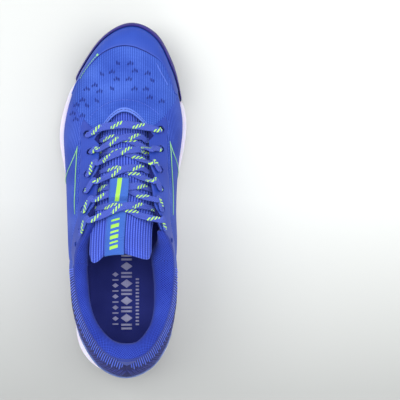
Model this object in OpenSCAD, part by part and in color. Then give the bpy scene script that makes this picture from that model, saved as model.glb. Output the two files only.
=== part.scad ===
// Low-cut court shoe for racket sports, left foot, laced and standing on the floor.
// Millimetres. Toe toward +Y, outer (lateral) side toward -X, ground at z = 0.

/* [Sole] */
// Thickness of the rubber outsole
outsole_thickness = 3.5; // [3:0.5:4]
// Height of the toe tip above the ground
toe_spring = 14; // [12:1:15]
// Height the back edge of the heel is bevelled up
heel_bevel = 3; // [2:0.5:4]
// Height of the midsole's bed under the ball of the foot
forefoot_bed = 13; // [12:0.5:13.5]
// Height of the midsole's bed under the heel
heel_bed = 21; // [19:0.5:22]
// Width of the flex grooves across the outsole
groove_width = 2.5; // [2:0.5:3]
// Depth of the flex grooves
groove_depth = 1.6; // [1:0.2:2]

/* [Upper] */
// Thickness of the knitted textile
textile_thickness = 1.1; // [0.9:0.1:1.1]
// Thickness of the welded film overlays
overlay_thickness = 0.7; // [0.5:0.1:0.8]
// Thickness of the inner stiffeners
stiffener_thickness = 0.6; // [0.4:0.1:0.6]
// Thickness of the lining
lining_thickness = 0.9; // [0.7:0.1:1]
// Radius of the lace holes
eyelet_radius = 2.8; // [2.6:0.1:3]
// Thickness of the padding in the collar
collar_padding = 5.6; // [4:0.2:6]

/* [Tongue and lace] */
// Thickness of the padded tongue
tongue_thickness = 6; // [5:0.5:6.5]
// Width of the tongue at the instep
tongue_width = 56; // [50:1:58]
// Width of the flat lace
lace_width = 7; // [6:0.5:7]
// Thickness of the flat lace
lace_thickness = 1.6; // [1.2:0.1:1.6]

/* [Sockliner] */
// Thickness of the removable sockliner
sockliner_thickness = 4.4; // [3.5:0.1:5]

/* [Hidden] */

// Stations run round the shoe: 0 heel, 1 to 11 outer side, 12 toe, 13 to 23 inner side.
// Each holds: foot x, foot y, foot z, top x, top y, top z,
// handle length and lean at the foot, handle length and slope at the top.
stations = [
    [2, -147.5, 34, 2, -126, 92, 22, 14, 20, 80],
    [-18.5, -139.5, 34, -14, -121, 90, 22, 14, 20, 80],
    [-32.5, -121, 33.5, -27, -105, 84, 20, 14, 16, 82],
    [-39.5, -96, 32.5, -35.5, -84, 77, 20, 26, 14, 80],
    [-41, -66, 31.5, -39, -60, 75, 22, 34, 14, 80],
    [-40.5, -32, 30, -37, -40, 82, 26, 38, 20, 70],
    [-43, 0, 28, -27, -18, 94, 26, 30, 30, 46],
    [-49, 30, 25.5, -21.5, 14, 85, 22, 18, 28, 38],
    [-51.7, 58, 23.5, -20.5, 38, 72, 20, 10, 24, 34],
    [-45.5, 87, 24, -19, 54, 63, 20, 10, 26, 24],
    [-34, 113, 27, -12.5, 64, 59, 18, 10, 32, 16],
    [-16, 137, 30.5, -6, 70, 57, 16, 8, 38, 10],
    [6, 147.5, 31.5, 0, 72, 56.5, 16, 6, 42, 7],
    [27, 139, 30.5, 6, 70.5, 57, 16, 8, 38, 10],
    [40.5, 116, 27, 12.5, 65.5, 59, 18, 10, 32, 16],
    [47.5, 91, 24, 19, 57, 63, 20, 10, 26, 24],
    [51.7, 62, 23.5, 20.5, 41, 72, 20, 10, 24, 34],
    [47.5, 31, 25.5, 21.5, 16, 85, 20, 12, 26, 38],
    [41, 0, 28, 27, -17, 94, 24, 22, 28, 48],
    [38.5, -32, 30, 37, -38, 82, 26, 34, 20, 70],
    [39.5, -66, 31.5, 39, -60, 75, 22, 38, 14, 80],
    [40.5, -96, 32.5, 36.5, -84, 77, 20, 26, 14, 80],
    [36, -121, 33.5, 29, -105, 84, 20, 14, 16, 82],
    [22.5, -139.5, 34, 17, -121, 90, 22, 14, 20, 80]
];
station_count = len(stations);
toe_station = station_count / 2;
// Grid lines per station along the shoe, and steps up the side of the upper
lines_per_station = 3;
side_steps = 8;
// The upper's foot stands this far inside the midsole's edge
upper_inset = 3;
// Gap between two layers of the upper, and the larger one under overlays of another grid
layer_gap = 0.1;
overlay_gap = 0.35;
// Half the gap between two panels that meet at a seam, in stations
seam = 0.008;

// Plan position where the sole starts to rise toward the toe, and where the heel bevel starts
toe_break = 70;
toe_tip = 147.5;
heel_break = -125;

// Layer depths below the base surface, which is the outside of the textile
stiffener_top = textile_thickness + 3 * layer_gap;
stiffener_base = stiffener_top + stiffener_thickness;
lining_top = 2.3;
lining_base = lining_top + lining_thickness;
overlay_top = overlay_gap + overlay_thickness;

// Lace holes as [station, height fraction], from the toe end up
lateral_eyelets = [[8.52, 0.80], [7.92, 0.87], [7.16, 0.85], [6.71, 0.86], [6.24, 0.87], [5.61, 0.90]];
medial_eyelets = [[15.42, 0.81], [16.14, 0.83], [16.77, 0.86], [17.27, 0.88], [17.73, 0.91], [18.25, 0.94]];
// Spare top holes, left unlaced
lateral_spare = [5.13, 0.88];
medial_spare = [18.81, 0.90];
spare_radius = 2;

// Tongue centreline: heights every tongue_pitch mm back from tongue_root
tongue_root = 84;
tongue_pitch = 16;
tongue_heights = [49.4, 50, 52.6, 60, 69.4, 78.6, 86.5, 93.6, 101.3, 111, 123, 136];
tongue_arch = 60;
// The tongue bends along the line between these two positions
crease_front = -28.4;
crease_back = -30.8;
tongue_end = -49;
cover_thickness = 0.7;

// ---------- small helpers ----------
function lerp(a, b, t) = a + (b - a) * t;
function unit(v) = v / norm(v);
function smooth(t) = let (c = min(1, max(0, t))) c * c * (3 - 2 * c);
function spline(a, b, c, d, f) =
    0.5 * (2 * b + (c - a) * f + (2 * a - 5 * b + 4 * c - d) * f * f + (3 * b - a - 3 * c + d) * f * f * f);
function steps(a, b, n) = [for (i = [0:n]) lerp(a, b, i / n)];
// Grid lines from a to b that fall on the shared lines between them
function grid_lines(a, b) = concat(
    [a],
    [for (i = [ceil(a * lines_per_station + 0.1):floor(b * lines_per_station - 0.1)]) i / lines_per_station],
    [b]);

// ---------- the upper's base surface ----------
function station(k) =
    let (m = k - station_count * floor(k / station_count), i = floor(m), n = station_count)
    spline(stations[(i + n - 1) % n], stations[i % n], stations[(i + 1) % n], stations[(i + 2) % n], m - i);
function outward(k) =
    let (a = station(k - 0.05), b = station(k + 0.05), t = unit([b[0] - a[0], b[1] - a[1]]))
    [-t[1], t[0]];
// Plan point on the sole's outline, moved outward by d
function outline(k, d) = let (r = station(k), o = outward(k)) [r[0] + o[0] * d, r[1] + o[1] * d];
// Point of the surface at station k and height fraction w, 0 at the midsole and 1 at the top edge
function skin(k, w) =
    let (
        r = station(k),
        o = outward(k),
        foot = [r[0] - o[0] * upper_inset, r[1] - o[1] * upper_inset, r[2]],
        top = [r[3], r[4], r[5]],
        side = unit(unit([foot[0] - top[0], foot[1] - top[1]]) + o),
        a = foot + r[6] * [o[0] * sin(r[7]), o[1] * sin(r[7]), cos(r[7])],
        b = top + r[8] * [side[0] * cos(r[9]), side[1] * cos(r[9]), -sin(r[9])],
        v = 1 - w
    )
    v * v * v * foot + 3 * v * v * w * a + 3 * v * w * w * b + w * w * w * top;
function along_up(k, w) = skin(k, min(1, w + 0.001)) - skin(k, max(0, w - 0.001));
function skin_normal(k, w) = unit(cross(along_up(k, w), skin(k + 0.01, w) - skin(k - 0.01, w)));
function on_skin(k, w, off) = skin(k, w) + off * skin_normal(k, w);
// The same, moved on past the top edge by up
function past_top(k, w, off, up) = on_skin(k, w, off) + up * unit(along_up(k, w));

// ---------- sole heights at plan position y ----------
function spring(y) = y > toe_break ? toe_spring * pow((y - toe_break) / (toe_tip - toe_break), 2) : 0;
function bevel(y) = y < heel_break ? heel_bevel * pow((heel_break - y) / (toe_tip + heel_break), 2) : 0;
function ground(y) = spring(y) + bevel(y);
function bed(y) = lerp(forefoot_bed, heel_bed, 1 - smooth((y + 60) / 80)) + 0.85 * spring(y);
function midsole_base(y) = ground(y) + outsole_thickness + layer_gap;
// How far the midsole steps back under the toe bumper
bumper_recess = 1.8;
function recess(k) = bumper_recess * smooth((k - 8.9) / 0.5) * smooth((15.2 - k) / 0.5);

// ---------- solid builders ----------
function quad(a, b, c, d) = [
    for (t = [[a, b, c], [a, c, d]]) if (t[0] != t[1] && t[1] != t[2] && t[2] != t[0]) t
];

// Solid between two point grids of the same size
module slab(outer, inner) {
    ni = len(outer);
    nj = len(outer[0]);
    n = ni * nj;
    points = concat([for (r = outer) for (p = r) p], [for (r = inner) for (p = r) p]);
    sheets = [
        for (i = [0:ni - 2]) for (j = [0:nj - 2]) let (a = i * nj + j, b = a + nj)
            each concat(quad(a, b, b + 1, a + 1), quad(n + a, n + a + 1, n + b + 1, n + b))
    ];
    long_edges = [
        for (i = [0:ni - 2]) let (a = i * nj, b = a + nj, e = nj - 1)
            each concat(quad(b, a, n + a, n + b), quad(a + e, b + e, n + b + e, n + a + e))
    ];
    end_edges = [
        for (j = [0:nj - 2]) let (e = (ni - 1) * nj + j)
            each concat(quad(j, j + 1, n + j + 1, n + j), quad(e + 1, e, n + e, n + e + 1))
    ];
    polyhedron(points, concat(sheets, long_edges, end_edges), convexity = 10);
}

// Layer of the upper between two depths; low and high give its edges over the stations
module layer(ks, low, high, n, outer_off, inner_off) {
    grid = [for (k = ks) [for (t = steps(0, 1, n)) [k, lerp(lookup(k, low), lookup(k, high), t)]]];
    slab(
        [for (r = grid) [for (q = r) on_skin(q[0], q[1], outer_off)]],
        [for (r = grid) [for (q = r) on_skin(q[0], q[1], inner_off)]]
    );
}

// Same with straight edges at constant height fractions
module plain_layer(ks, low, high, n, outer_off, inner_off) {
    layer(ks, [[0, low], [48, low]], [[0, high], [48, high]], n, outer_off, inner_off);
}

// Stations of a closed loop: up the outer side from a to b, then back down the inner side
function loop_stations(a, b) =
    let (side = grid_lines(a, b), m = len(side) - 1)
    concat(side, [
        for (i = [m:-1:0]) if (side[i] != 0 && side[i] != toe_station) station_count - side[i]
    ]);
function partner(i, n, heel) = heel ? (n - i) % n : n - 1 - i;

// Solid from closed rings, capped across the first and the last one
module ringed(rings, a, b) {
    n = len(rings[0]);
    top = (len(rings) - 1) * n;
    heel = a == 0;
    side = len(grid_lines(a, b));
    walls = [
        for (r = [0:len(rings) - 2]) for (i = [0:n - 1]) let (j = (i + 1) % n)
            each quad(r * n + i, r * n + j, r * n + n + j, r * n + n + i)
    ];
    caps = [
        for (i = [0:side - 2]) let (p = partner(i, n, heel), q = partner(i + 1, n, heel))
            each concat(quad(top + i, top + i + 1, top + q, top + p), quad(q, i + 1, i, p))
    ];
    polyhedron([for (r = rings) for (p = r) p], concat(walls, caps), convexity = 10);
}

// Ring round the sole at inset d, with its height given by one of the height functions
function ground_ring(ks, d, up) = [for (k = ks) let (p = outline(k, d)) [p[0], p[1], ground(p[1]) + up]];
function bed_ring(ks, d, up) = [for (k = ks) let (p = outline(k, d)) [p[0], p[1], bed(p[1]) + up]];
function rim(y) = 2.6 * (1 - smooth((y + 20) / 60));
function rim_ring(ks, d, up) = [for (k = ks) let (p = outline(k, d)) [p[0], p[1], bed(p[1]) + up + rim(p[1])]];
// Ring on the midsole's side, share of the way from its base to its lip
function side_ring(ks, d, share) = [
    for (k = ks) let (p = outline(k, d - recess(k)))
        [p[0], p[1], lerp(midsole_base(p[1]), station(k)[2] - 0.5, share)]
];
function land_ring(ks, d) = [for (k = ks) let (p = outline(k, d)) [p[0], p[1], station(k)[2] - 0.5]];

// Lace hole through the whole wall of the upper
module wall_hole(q, r) {
    n = skin_normal(q[0], q[1]);
    translate(skin(q[0], q[1])) rotate([0, acos(n[2]), atan2(n[1], n[0])])
        cylinder(h = 14, r = r, center = true, $fn = 24);
}
module lateral_holes() {
    for (q = lateral_eyelets) wall_hole(q, eyelet_radius);
    wall_hole(lateral_spare, spare_radius);
}
module medial_holes() {
    for (q = medial_eyelets) wall_hole(q, eyelet_radius);
    wall_hole(medial_spare, spare_radius);
}

// ---------- sole ----------
forefoot_start = 5.667;
heel_finish = 4.333;

module outsole_pad(a, b) {
    ks = loop_stations(a, b);
    ringed([
        ground_ring(ks, -4, 0),
        ground_ring(ks, -2, 1.2),
        ground_ring(ks, -2, outsole_thickness)
    ], a, b);
}

module flex_groove(y, turn) {
    translate([0, y, 0]) rotate([0, 0, turn])
        cube([140, groove_width, 2 * (groove_depth + ground(y))], center = true);
}

module outsole_forefoot() {
    color([0.16, 0.14, 0.5]) difference() {
        outsole_pad(forefoot_start, toe_station);
        flex_groove(20, 8);
        flex_groove(46, 4);
        flex_groove(68, -4);
    }
}

module outsole_heel() {
    color([0.16, 0.14, 0.5]) difference() {
        outsole_pad(0, heel_finish);
        flex_groove(-78, -6);
        flex_groove(-104, -6);
    }
}

module shank_plate() {
    ks = loop_stations(4.48, 5.5);
    color([0.85, 0.95, 0.35]) difference() {
        ringed([
            ground_ring(ks, -7, 1.6),
            ground_ring(ks, -6, outsole_thickness)
        ], 4.48, 5.5);
        for (x = [-18, 0, 18]) translate([x, -30, 0]) cube([4, 30, 4.4], center = true);
    }
}

module midsole() {
    ks = loop_stations(0, toe_station);
    color([0.88, 0.86, 0.94]) ringed([
        side_ring(ks, -2.4, 0),
        side_ring(ks, -0.3, 0.16),
        side_ring(ks, 0, 0.55),
        side_ring(ks, -0.2, 0.9),
        side_ring(ks, -0.5, 1),
        land_ring(ks, -7),
        bed_ring(ks, -8.5, 0)
    ], 0, toe_station);
}

module toe_bumper() {
    ks = grid_lines(9.35, 14.8);
    low = 0.24;
    outer = [for (k = ks) let (p = outline(k, 0), base = midsole_base(p[1]) + 1.2, lip = station(k)[2]) [
        concat(outline(k, -0.5), base),
        concat(outline(k, 0), lerp(base, lip, 0.6)),
        on_skin(k, 0.02, 3),
        on_skin(k, 0.12, 2.9),
        on_skin(k, low, 2.2)
    ]];
    inner = [for (k = ks) let (p = outline(k, 0), base = midsole_base(p[1]) + 1.2, lip = station(k)[2]) [
        concat(outline(k, -1.4), base),
        concat(outline(k, -1.4), lerp(base, lip, 0.6)),
        on_skin(k, 0.02, 1.4),
        on_skin(k, 0.12, 1.4),
        on_skin(k, low, 1.4)
    ]];
    color([0.2, 0.14, 0.55]) slab(outer, inner);
}

module strobel_board() {
    ks = loop_stations(0, toe_station);
    color([0.8, 0.78, 0.72]) ringed([bed_ring(ks, -9.4, 0.15), bed_ring(ks, -9.4, 1.6)], 0, toe_station);
}

// ---------- sockliner ----------
sockliner_base = 2.1;
sockliner_top = sockliner_base + sockliner_thickness;

module sockliner_foam() {
    ks = loop_stations(0, toe_station);
    color([0.3, 0.3, 0.36]) ringed([
        bed_ring(ks, -12, sockliner_base),
        bed_ring(ks, -10.4, sockliner_base + 2),
        rim_ring(ks, -10.4, sockliner_top - 0.2),
        bed_ring(ks, -17, sockliner_top)
    ], 0, toe_station);
}

module sockliner_cover() {
    ks = loop_stations(0, toe_station);
    color([0.1, 0.1, 0.42]) ringed([
        bed_ring(ks, -17, sockliner_top + 0.3),
        rim_ring(ks, -10.4, sockliner_top + 0.1),
        rim_ring(ks, -10.6, sockliner_top + 0.7),
        bed_ring(ks, -17.2, sockliner_top + 1)
    ], 0, toe_station);
}

// ---------- upper ----------
vamp_start = 9;
vamp_finish = 15;
quarter_start = 4;
quarter_finish = 20;
heel_finish_station = 28;

module vamp() {
    ks = grid_lines(vamp_start + seam, vamp_finish - seam);
    color([0.25, 0.37, 0.84]) plain_layer(ks, 0, 1, side_steps, 0, -textile_thickness);
}

module quarter_lateral() {
    ks = grid_lines(quarter_start + seam, vamp_start - seam);
    color([0.25, 0.37, 0.84]) difference() {
        plain_layer(ks, 0, 1, side_steps, 0, -textile_thickness);
        lateral_holes();
    }
}

module quarter_medial() {
    ks = grid_lines(vamp_finish + seam, quarter_finish - seam);
    color([0.2, 0.32, 0.78]) difference() {
        plain_layer(ks, 0, 1, side_steps, 0, -textile_thickness);
        medial_holes();
    }
}

module heel_panel() {
    ks = grid_lines(quarter_finish + seam, heel_finish_station - seam);
    color([0.12, 0.14, 0.5]) plain_layer(ks, 0, 1, side_steps, 0, -textile_thickness);
}

module toe_cap() {
    ks = grid_lines(9.2, 14.9);
    low = [[9, 0.04], [15, 0.04]];
    high = [
        [9.2, 0.2], [9.6, 0.28], [10.2, 0.36], [10.8, 0.38],
        [11.9, 0.44], [12.8, 0.46], [14.2, 0.46], [14.9, 0.3]
    ];
    color([0.2, 0.32, 0.78]) layer(ks, low, high, 4, overlay_top, overlay_gap);
}

eyestay_low = [
    [4.2, 0.72], [4.8, 0.72], [5.3, 0.74], [6, 0.80], [6.6, 0.77],
    [7.3, 0.73], [8, 0.72], [8.6, 0.68], [8.95, 0.72]
];
eyestay_high = [[4.2, 0.78], [4.8, 0.92], [5.3, 1], [8.95, 1]];
function mirrored(table) = [for (i = [len(table) - 1:-1:0]) [station_count - table[i][0], table[i][1]]];
medial_low = [
    [15.05, 0.72], [15.4, 0.68], [16, 0.72], [16.7, 0.72], [17.4, 0.72], [18, 0.78], [18.7, 0.80], [19.2, 0.76],
    [19.8, 0.76]
];

module eyestay_lateral() {
    color([0.23, 0.35, 0.82]) difference() {
        layer(grid_lines(4.2, 8.95), eyestay_low, eyestay_high, 3, overlay_top, overlay_gap);
        lateral_holes();
    }
}

module eyestay_medial() {
    color([0.2, 0.3, 0.76]) difference() {
        layer(grid_lines(15.05, 19.8), medial_low, mirrored(eyestay_high), 3, overlay_top, overlay_gap);
        medial_holes();
    }
}

module heel_cover() {
    ks = grid_lines(20.2, 27.8);
    low = [[20, 0.55], [21, 0.3], [22, 0.22], [26, 0.22], [27, 0.3], [28, 0.55]];
    high = [[20, 0.7], [20.6, 0.94], [27.4, 0.94], [28, 0.7]];
    color([0.1, 0.12, 0.45]) layer(ks, low, high, 5, overlay_gap + 0.5, overlay_gap);
}

module heel_clip() {
    ks = grid_lines(20.9, 27.1);
    low = [[20, 0.05], [28, 0.05]];
    high = [[20.9, 0.1], [21.6, 0.19], [26.4, 0.19], [27.1, 0.1]];
    color([0.45, 0.65, 0.95, 0.7]) layer(ks, low, high, 2, overlay_gap + 1.6, overlay_gap);
}

module heel_tab() {
    ks = [23.62, 23.8, 24, 24.2, 24.38];
    low = [[23.6, 0.86], [24, 0.72], [24.4, 0.86]];
    color([0.3, 0.45, 0.95]) layer(ks, low, [[23, 0.93], [25, 0.93]], 2, 2, 1.2);
}

// Narrow welded strip along a path of [station, height fraction] points
module strip(path, width) {
    n = len(path);
    sides = [for (i = [0:n - 1]) let (
        a = path[max(0, i - 1)],
        b = path[min(n - 1, i + 1)],
        q = path[i],
        t = unit(skin(b[0], b[1]) - skin(a[0], a[1])),
        s = unit(cross(skin_normal(q[0], q[1]), t))
    ) [q, s * width / 2]];
    slab(
        [for (e = sides) [for (m = [1, -1]) on_skin(e[0][0], e[0][1], overlay_gap + 0.5) + m * e[1]]],
        [for (e = sides) [for (m = [1, -1]) on_skin(e[0][0], e[0][1], overlay_gap) + m * e[1]]]
    );
}

module accent_line_lateral() {
    color([0.75, 0.96, 0.25]) {
        strip([[6.0, 0.74], [6.33, 0.70], [6.67, 0.68], [7, 0.66], [7.33, 0.655], [7.67, 0.65]], 1.6);
        strip([[6.9, 0.47], [7.1, 0.52], [7.33, 0.57], [7.52, 0.61]], 1.6);
    }
}

module accent_line_medial() {
    color([0.75, 0.96, 0.25]) {
        strip([[18.1, 0.68], [17.67, 0.64], [17.33, 0.62], [17, 0.62], [16.67, 0.63], [16.3, 0.645]], 1.6);
        strip([[17.05, 0.33], [16.9, 0.42], [16.67, 0.52], [16.5, 0.58]], 1.6);
    }
}

// ---------- inside of the upper ----------
module toe_puff() {
    plain = grid_lines(9.6, 14.4);
    color([0.7, 0.7, 0.72]) plain_layer(plain, 0, 0.5, 4, -stiffener_top, -stiffener_base);
}

module heel_counter() {
    plain = grid_lines(20.7, 27.3);
    color([0.75, 0.75, 0.78]) plain_layer(plain, 0, 0.625, 5, -stiffener_top, -stiffener_base);
}

module eyelet_backer_lateral() {
    color([0.2, 0.2, 0.4]) difference() {
        layer(grid_lines(4.9, 8.9), eyestay_low, [[4, 0.97], [9, 0.97]], 3, -stiffener_top, -stiffener_base);
        lateral_holes();
    }
}

module eyelet_backer_medial() {
    color([0.2, 0.2, 0.4]) difference() {
        layer(grid_lines(15.1, 19.1), medial_low, [[15, 0.97], [20, 0.97]], 3, -stiffener_top, -stiffener_base);
        medial_holes();
    }
}

lining_start = 4.85;
module vamp_lining() {
    ks = grid_lines(lining_start, station_count - lining_start);
    color([0.14, 0.16, 0.5]) difference() {
        plain_layer(ks, 0, 0.98, side_steps, -lining_top, -lining_base);
        lateral_holes();
        medial_holes();
    }
}

collar_start = station_count - lining_start + 2 * seam;
collar_finish = station_count + lining_start - 2 * seam;
heel_station = station_count;
// Fullness of the collar, fullest behind the heel and slim toward the lacing
function fullness(k) =
    0.2 + 0.8 * smooth((k - collar_start) / 1) * smooth((collar_finish - k) / 1)
    + 0.65 * smooth(1 - abs(k - heel_station) / 2.6);
// Padding profile as [height fraction, share of the padding]
padding_profile = [[0.44, 0.1], [0.56, 0.6], [0.68, 0.9], [0.80, 1], [0.92, 1], [1, 0.92]];

module collar_foam() {
    ks = grid_lines(collar_start + 0.05, collar_finish - 0.05);
    outer = [for (k = ks) [for (q = padding_profile) on_skin(k, q[0], -lining_top - 0.1)]];
    inner = [for (k = ks) [
        for (q = padding_profile) on_skin(k, q[0], -lining_top - 0.6 - q[1] * fullness(k) * collar_padding)
    ]];
    color([0.85, 0.8, 0.5]) slab(outer, inner);
}

// Lining that runs up from the midsole, over the padding and back down to the top edge of the textile
module collar_lining() {
    ks = grid_lines(collar_start, collar_finish);
    skin_t = lining_thickness;
    pad = collar_padding;
    hidden = [for (k = ks) let (f = fullness(k) * pad, c = lining_top + 0.9) [
        past_top(k, 0, -lining_top, 0),
        past_top(k, 0.22, -lining_top, 0),
        past_top(k, 0.40, -lining_top, 0),
        past_top(k, 0.56, -c - 0.6 * f, 0),
        past_top(k, 0.68, -c - 0.9 * f, 0),
        past_top(k, 0.80, -c - f, 0),
        past_top(k, 0.92, -c - f, 0),
        past_top(k, 1, -c - 0.92 * f, 0.3),
        past_top(k, 1, -c - 0.5 * f, 1),
        past_top(k, 1, -lining_top, 0.9),
        past_top(k, 1, -textile_thickness, 0.4)
    ]];
    shown = [for (k = ks) let (f = fullness(k) * pad, c = lining_top + 0.9 + skin_t) [
        past_top(k, 0, -lining_base, 0),
        past_top(k, 0.22, -lining_base, 0),
        past_top(k, 0.40, -lining_base - 0.3, 0),
        past_top(k, 0.56, -c - 0.6 * f, 0),
        past_top(k, 0.68, -c - 0.9 * f, 0),
        past_top(k, 0.80, -c - f, 0),
        past_top(k, 0.92, -c - f, 0),
        past_top(k, 1, -c - 0.8 * f, 1),
        past_top(k, 1, -c - 0.3 * f, 2.1),
        past_top(k, 1, -lining_top, 1.9),
        past_top(k, 1, -0.1, 0.9)
    ]];
    color([0.24, 0.28, 0.8]) slab(hidden, shown);
}

// ---------- tongue ----------
function tongue_z(y) =
    let (t = (tongue_root - y) / tongue_pitch + 1, i = max(1, floor(t)), h = tongue_heights)
    spline(h[i - 1], h[i], h[i + 1], h[i + 2], t - i);
function tongue_half(y) =
    lerp(0.44, 0.5, smooth((60 - y) / 30)) * lerp(1, 0.875, smooth((6 - y) / 26)) * tongue_width;
function tongue_shift(y) = -2.5 * smooth((20 - y) / 60);
// Half the thickness of the padding, thin at the root, the crease, the end and the two edges
function tongue_pad(y, u) =
    let (
        body = smooth((78 - y) / 34) * lerp(1, 0.62, smooth((y - tongue_end) / -8 + 1)),
        crease = 1 - 0.3 * smooth(1 - abs(y - (crease_front + crease_back) / 2) / 7)
    )
    lerp(0.5, 0.5 * tongue_thickness, body * crease * (1 - pow(abs(u), 4)));
// Point of the tongue at plan position y and sideways position x, off mm above its middle surface
function on_tongue(x, y, off) =
    let (slope = (tongue_z(y + 0.5) - tongue_z(y - 0.5)), n = unit([-slope, 1]), d = off - x * x / tongue_arch)
    [x + tongue_shift(y), y + n[0] * d, tongue_z(y) + n[1] * d];

function tongue_normal(x, y) =
    let (a = on_tongue(x, y, 0), b = on_tongue(x, y, 1)) unit([2 * x / tongue_arch, b[1] - a[1], b[2] - a[2]]);

tongue_across = 8;
// Layer of the tongue between plan positions; side is 1 for the top and -1 for the bottom
module tongue_skin(ys, side) {
    us = steps(1, -1, tongue_across);
    near = [for (y = ys) [for (u = us) on_tongue(u * tongue_half(y), y, side * (tongue_pad(y, u) + layer_gap))]];
    far = [for (y = ys) [
        for (u = us) on_tongue(u * tongue_half(y), y, side * (tongue_pad(y, u) + layer_gap + cover_thickness))
    ]];
    if (side > 0) {
        slab(far, near);
    } else {
        slab(near, far);
    }
}

module tongue_core(ys) {
    us = steps(0.98, -0.98, tongue_across);
    slab(
        [for (y = ys) [for (u = us) on_tongue(u * tongue_half(y), y, tongue_pad(y, u))]],
        [for (y = ys) [for (u = us) on_tongue(u * tongue_half(y), y, -tongue_pad(y, u))]]
    );
}

root_lines = steps(tongue_root, crease_front, 13);
tip_lines = steps(crease_back, tongue_end, 4);

module tongue_cover() {
    color([0.3, 0.38, 0.85]) tongue_skin(root_lines, 1);
}

module tongue_foam() {
    color([0.85, 0.8, 0.5]) tongue_core(root_lines);
}

module tongue_lining() {
    color([0.14, 0.16, 0.5]) tongue_skin(root_lines, -1);
}

module tongue_tip_cover() {
    color([0.3, 0.38, 0.85]) tongue_skin(tip_lines, 1);
}

module tongue_tip_foam() {
    color([0.85, 0.8, 0.5]) tongue_core(tip_lines);
}

module tongue_tip_lining() {
    color([0.14, 0.16, 0.5]) tongue_skin(tip_lines, -1);
}

// Height of the tongue's top face above its middle surface
function tongue_top(x, y) = tongue_pad(y, min(1, abs(x) / tongue_half(y))) + layer_gap + cover_thickness;
// The label strip leans toward the outer side on its way up
function strip_x(y) = lerp(-2.6, -5.5, smooth((17 - y) / 60)) - tongue_shift(y);
label_half = 7.6;
label_thickness = 0.9;

// Strip on the tongue through [plan position, lift above the tongue's face]
module tongue_strip(path) {
    xs = steps(1, -1, 4);
    base = [for (q = path) [for (m = xs) let (x = strip_x(q[0]) + m * label_half)
        on_tongue(x, q[0], tongue_top(x, q[0]) + q[1])]];
    face = [for (q = path) [for (m = xs) let (x = strip_x(q[0]) + m * label_half)
        on_tongue(x, q[0], tongue_top(x, q[0]) + q[1] + label_thickness)]];
    slab(face, base);
}

// Clear height under the loop that the lace crossing passes through
keeper_height = 4.4;
module lace_keeper() {
    color([0.25, 0.42, 0.8]) tongue_strip([
        [16.2, 0.3], [15.1, 1.6], [14.1, 3.4], [12.8, keeper_height], [8, keeper_height], [3, keeper_height],
        [0.4, keeper_height], [-0.8, 3.4], [-2, 1.6], [-3.2, 0.3], [-8.5, 0.3], [-14, 0.3], [-19, 0.3], [-24, 0.3],
        [crease_front, 0.3]
    ]);
}

module tongue_label() {
    color([0.25, 0.42, 0.8]) tongue_strip([
        [crease_back, 0.3], [-34.5, 0.3], [-38, 0.3], [-41.5, 0.3], [-44.5, 0.3]
    ]);
}

// ---------- lace ----------
// Where the two strands cross over the middle of the tongue, from the toe up
crossings = [47, 36, 21.5, 7, -8.5];
// How far each crossing is raised above the tongue, for the strip below it
crossing_lift = [0.6, 0.6, 0.6, 0.5, 1.7];
half_t = lace_thickness / 2;
half_w = lace_width / 2;
// Lace centre above the outer face and below the lining
over = overlay_top + 0.6 + half_t;
under = -lining_base - 0.5 - half_t;

// Each point of the lace is [position, face direction, half width, half thickness]
// Below the hole the strand turns toward the throat when turn is 1 and away from it when turn is -1
function hole_points(q, s, turn) =
    let (n = skin_normal(q[0], q[1]), away = -unit(along_up(q[0], q[1])), p = skin(q[0], q[1]))
    [
        [p + 2 * n - 1.3 * away, unit(s * (n + away)), 1.9, 0.9],
        [p - 0.6 * n, s * away, 1.6, 1.1],
        [p - 3.4 * n, unit(s * (away - 0.4 * n)), 1.6, 0.9],
        [p - 4.7 * n - 1.6 * turn * away, unit(-turn * s * (n - 0.3 * turn * away)), 1.9, 0.7]
    ];
// Top of the throat edge at plan position y, off mm from the base surface
function edge_station(side, y) = lookup(y, side < 0 ?
    [for (k = [5:0.25:9.75]) let (j = 14.75 - k) [skin(j, 1)[1], j]] :
    [for (k = [14.25:0.25:19]) let (j = 33.25 - k) [skin(j, 1)[1], j]]);

// Strand from a hole on one side to the next hole on the other side
function crossing_points(r, side, s) =
    let (
        from = side < 0 ? lateral_eyelets[r] : medial_eyelets[r],
        y = crossings[r],
        high = side > 0 ? lace_thickness + 0.25 : 0,
        lift = crossing_lift[r] + half_t + high,
        leave = edge_station(side, y + 3),
        meet = edge_station(-side, y - 6.3),
        rise = side < 0 ? 1.3 : 0.8,
        to = side < 0 ? medial_eyelets[r + 1] : lateral_eyelets[r + 1],
        n_to = skin_normal(to[0], to[1]),
        away_to = -unit(along_up(to[0], to[1]))
    )
    concat(hole_points(from, s, 1), [
        [on_skin(leave, 0.985, under - 0.6), -s * skin_normal(leave, 1), 2.2, 0.7],
        // Each stop on the tongue is [sideways place, place along, extra lift, half width]
        for (e = [
            [14, 2.5, 0, 3], [7, 1.3, 0, half_w], [0, 0, 0, half_w], [-7, -2, 0, half_w], [-14, -4, 0.9, 3.1]
        ])
            let (x = side * e[0], v = y + e[1], drop = crossing_lift[r] > 1 && abs(x) > 10 ? 0.8 : 0)
            [on_tongue(x, v, tongue_top(x, v) + lift + e[2] - drop), -s * tongue_normal(x, v), e[3], half_t],
        [past_top(meet, 1, over + rise, 1.5), -s * skin_normal(meet, 1), 2.7, half_t],
        [on_skin(meet, 0.97, over + rise), -s * skin_normal(meet, 1), 2.7, half_t],
        [on_skin(to[0], to[1], over + 0.2) - 3.6 * away_to, -s * n_to, 2.5, half_t]
    ]);

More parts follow.
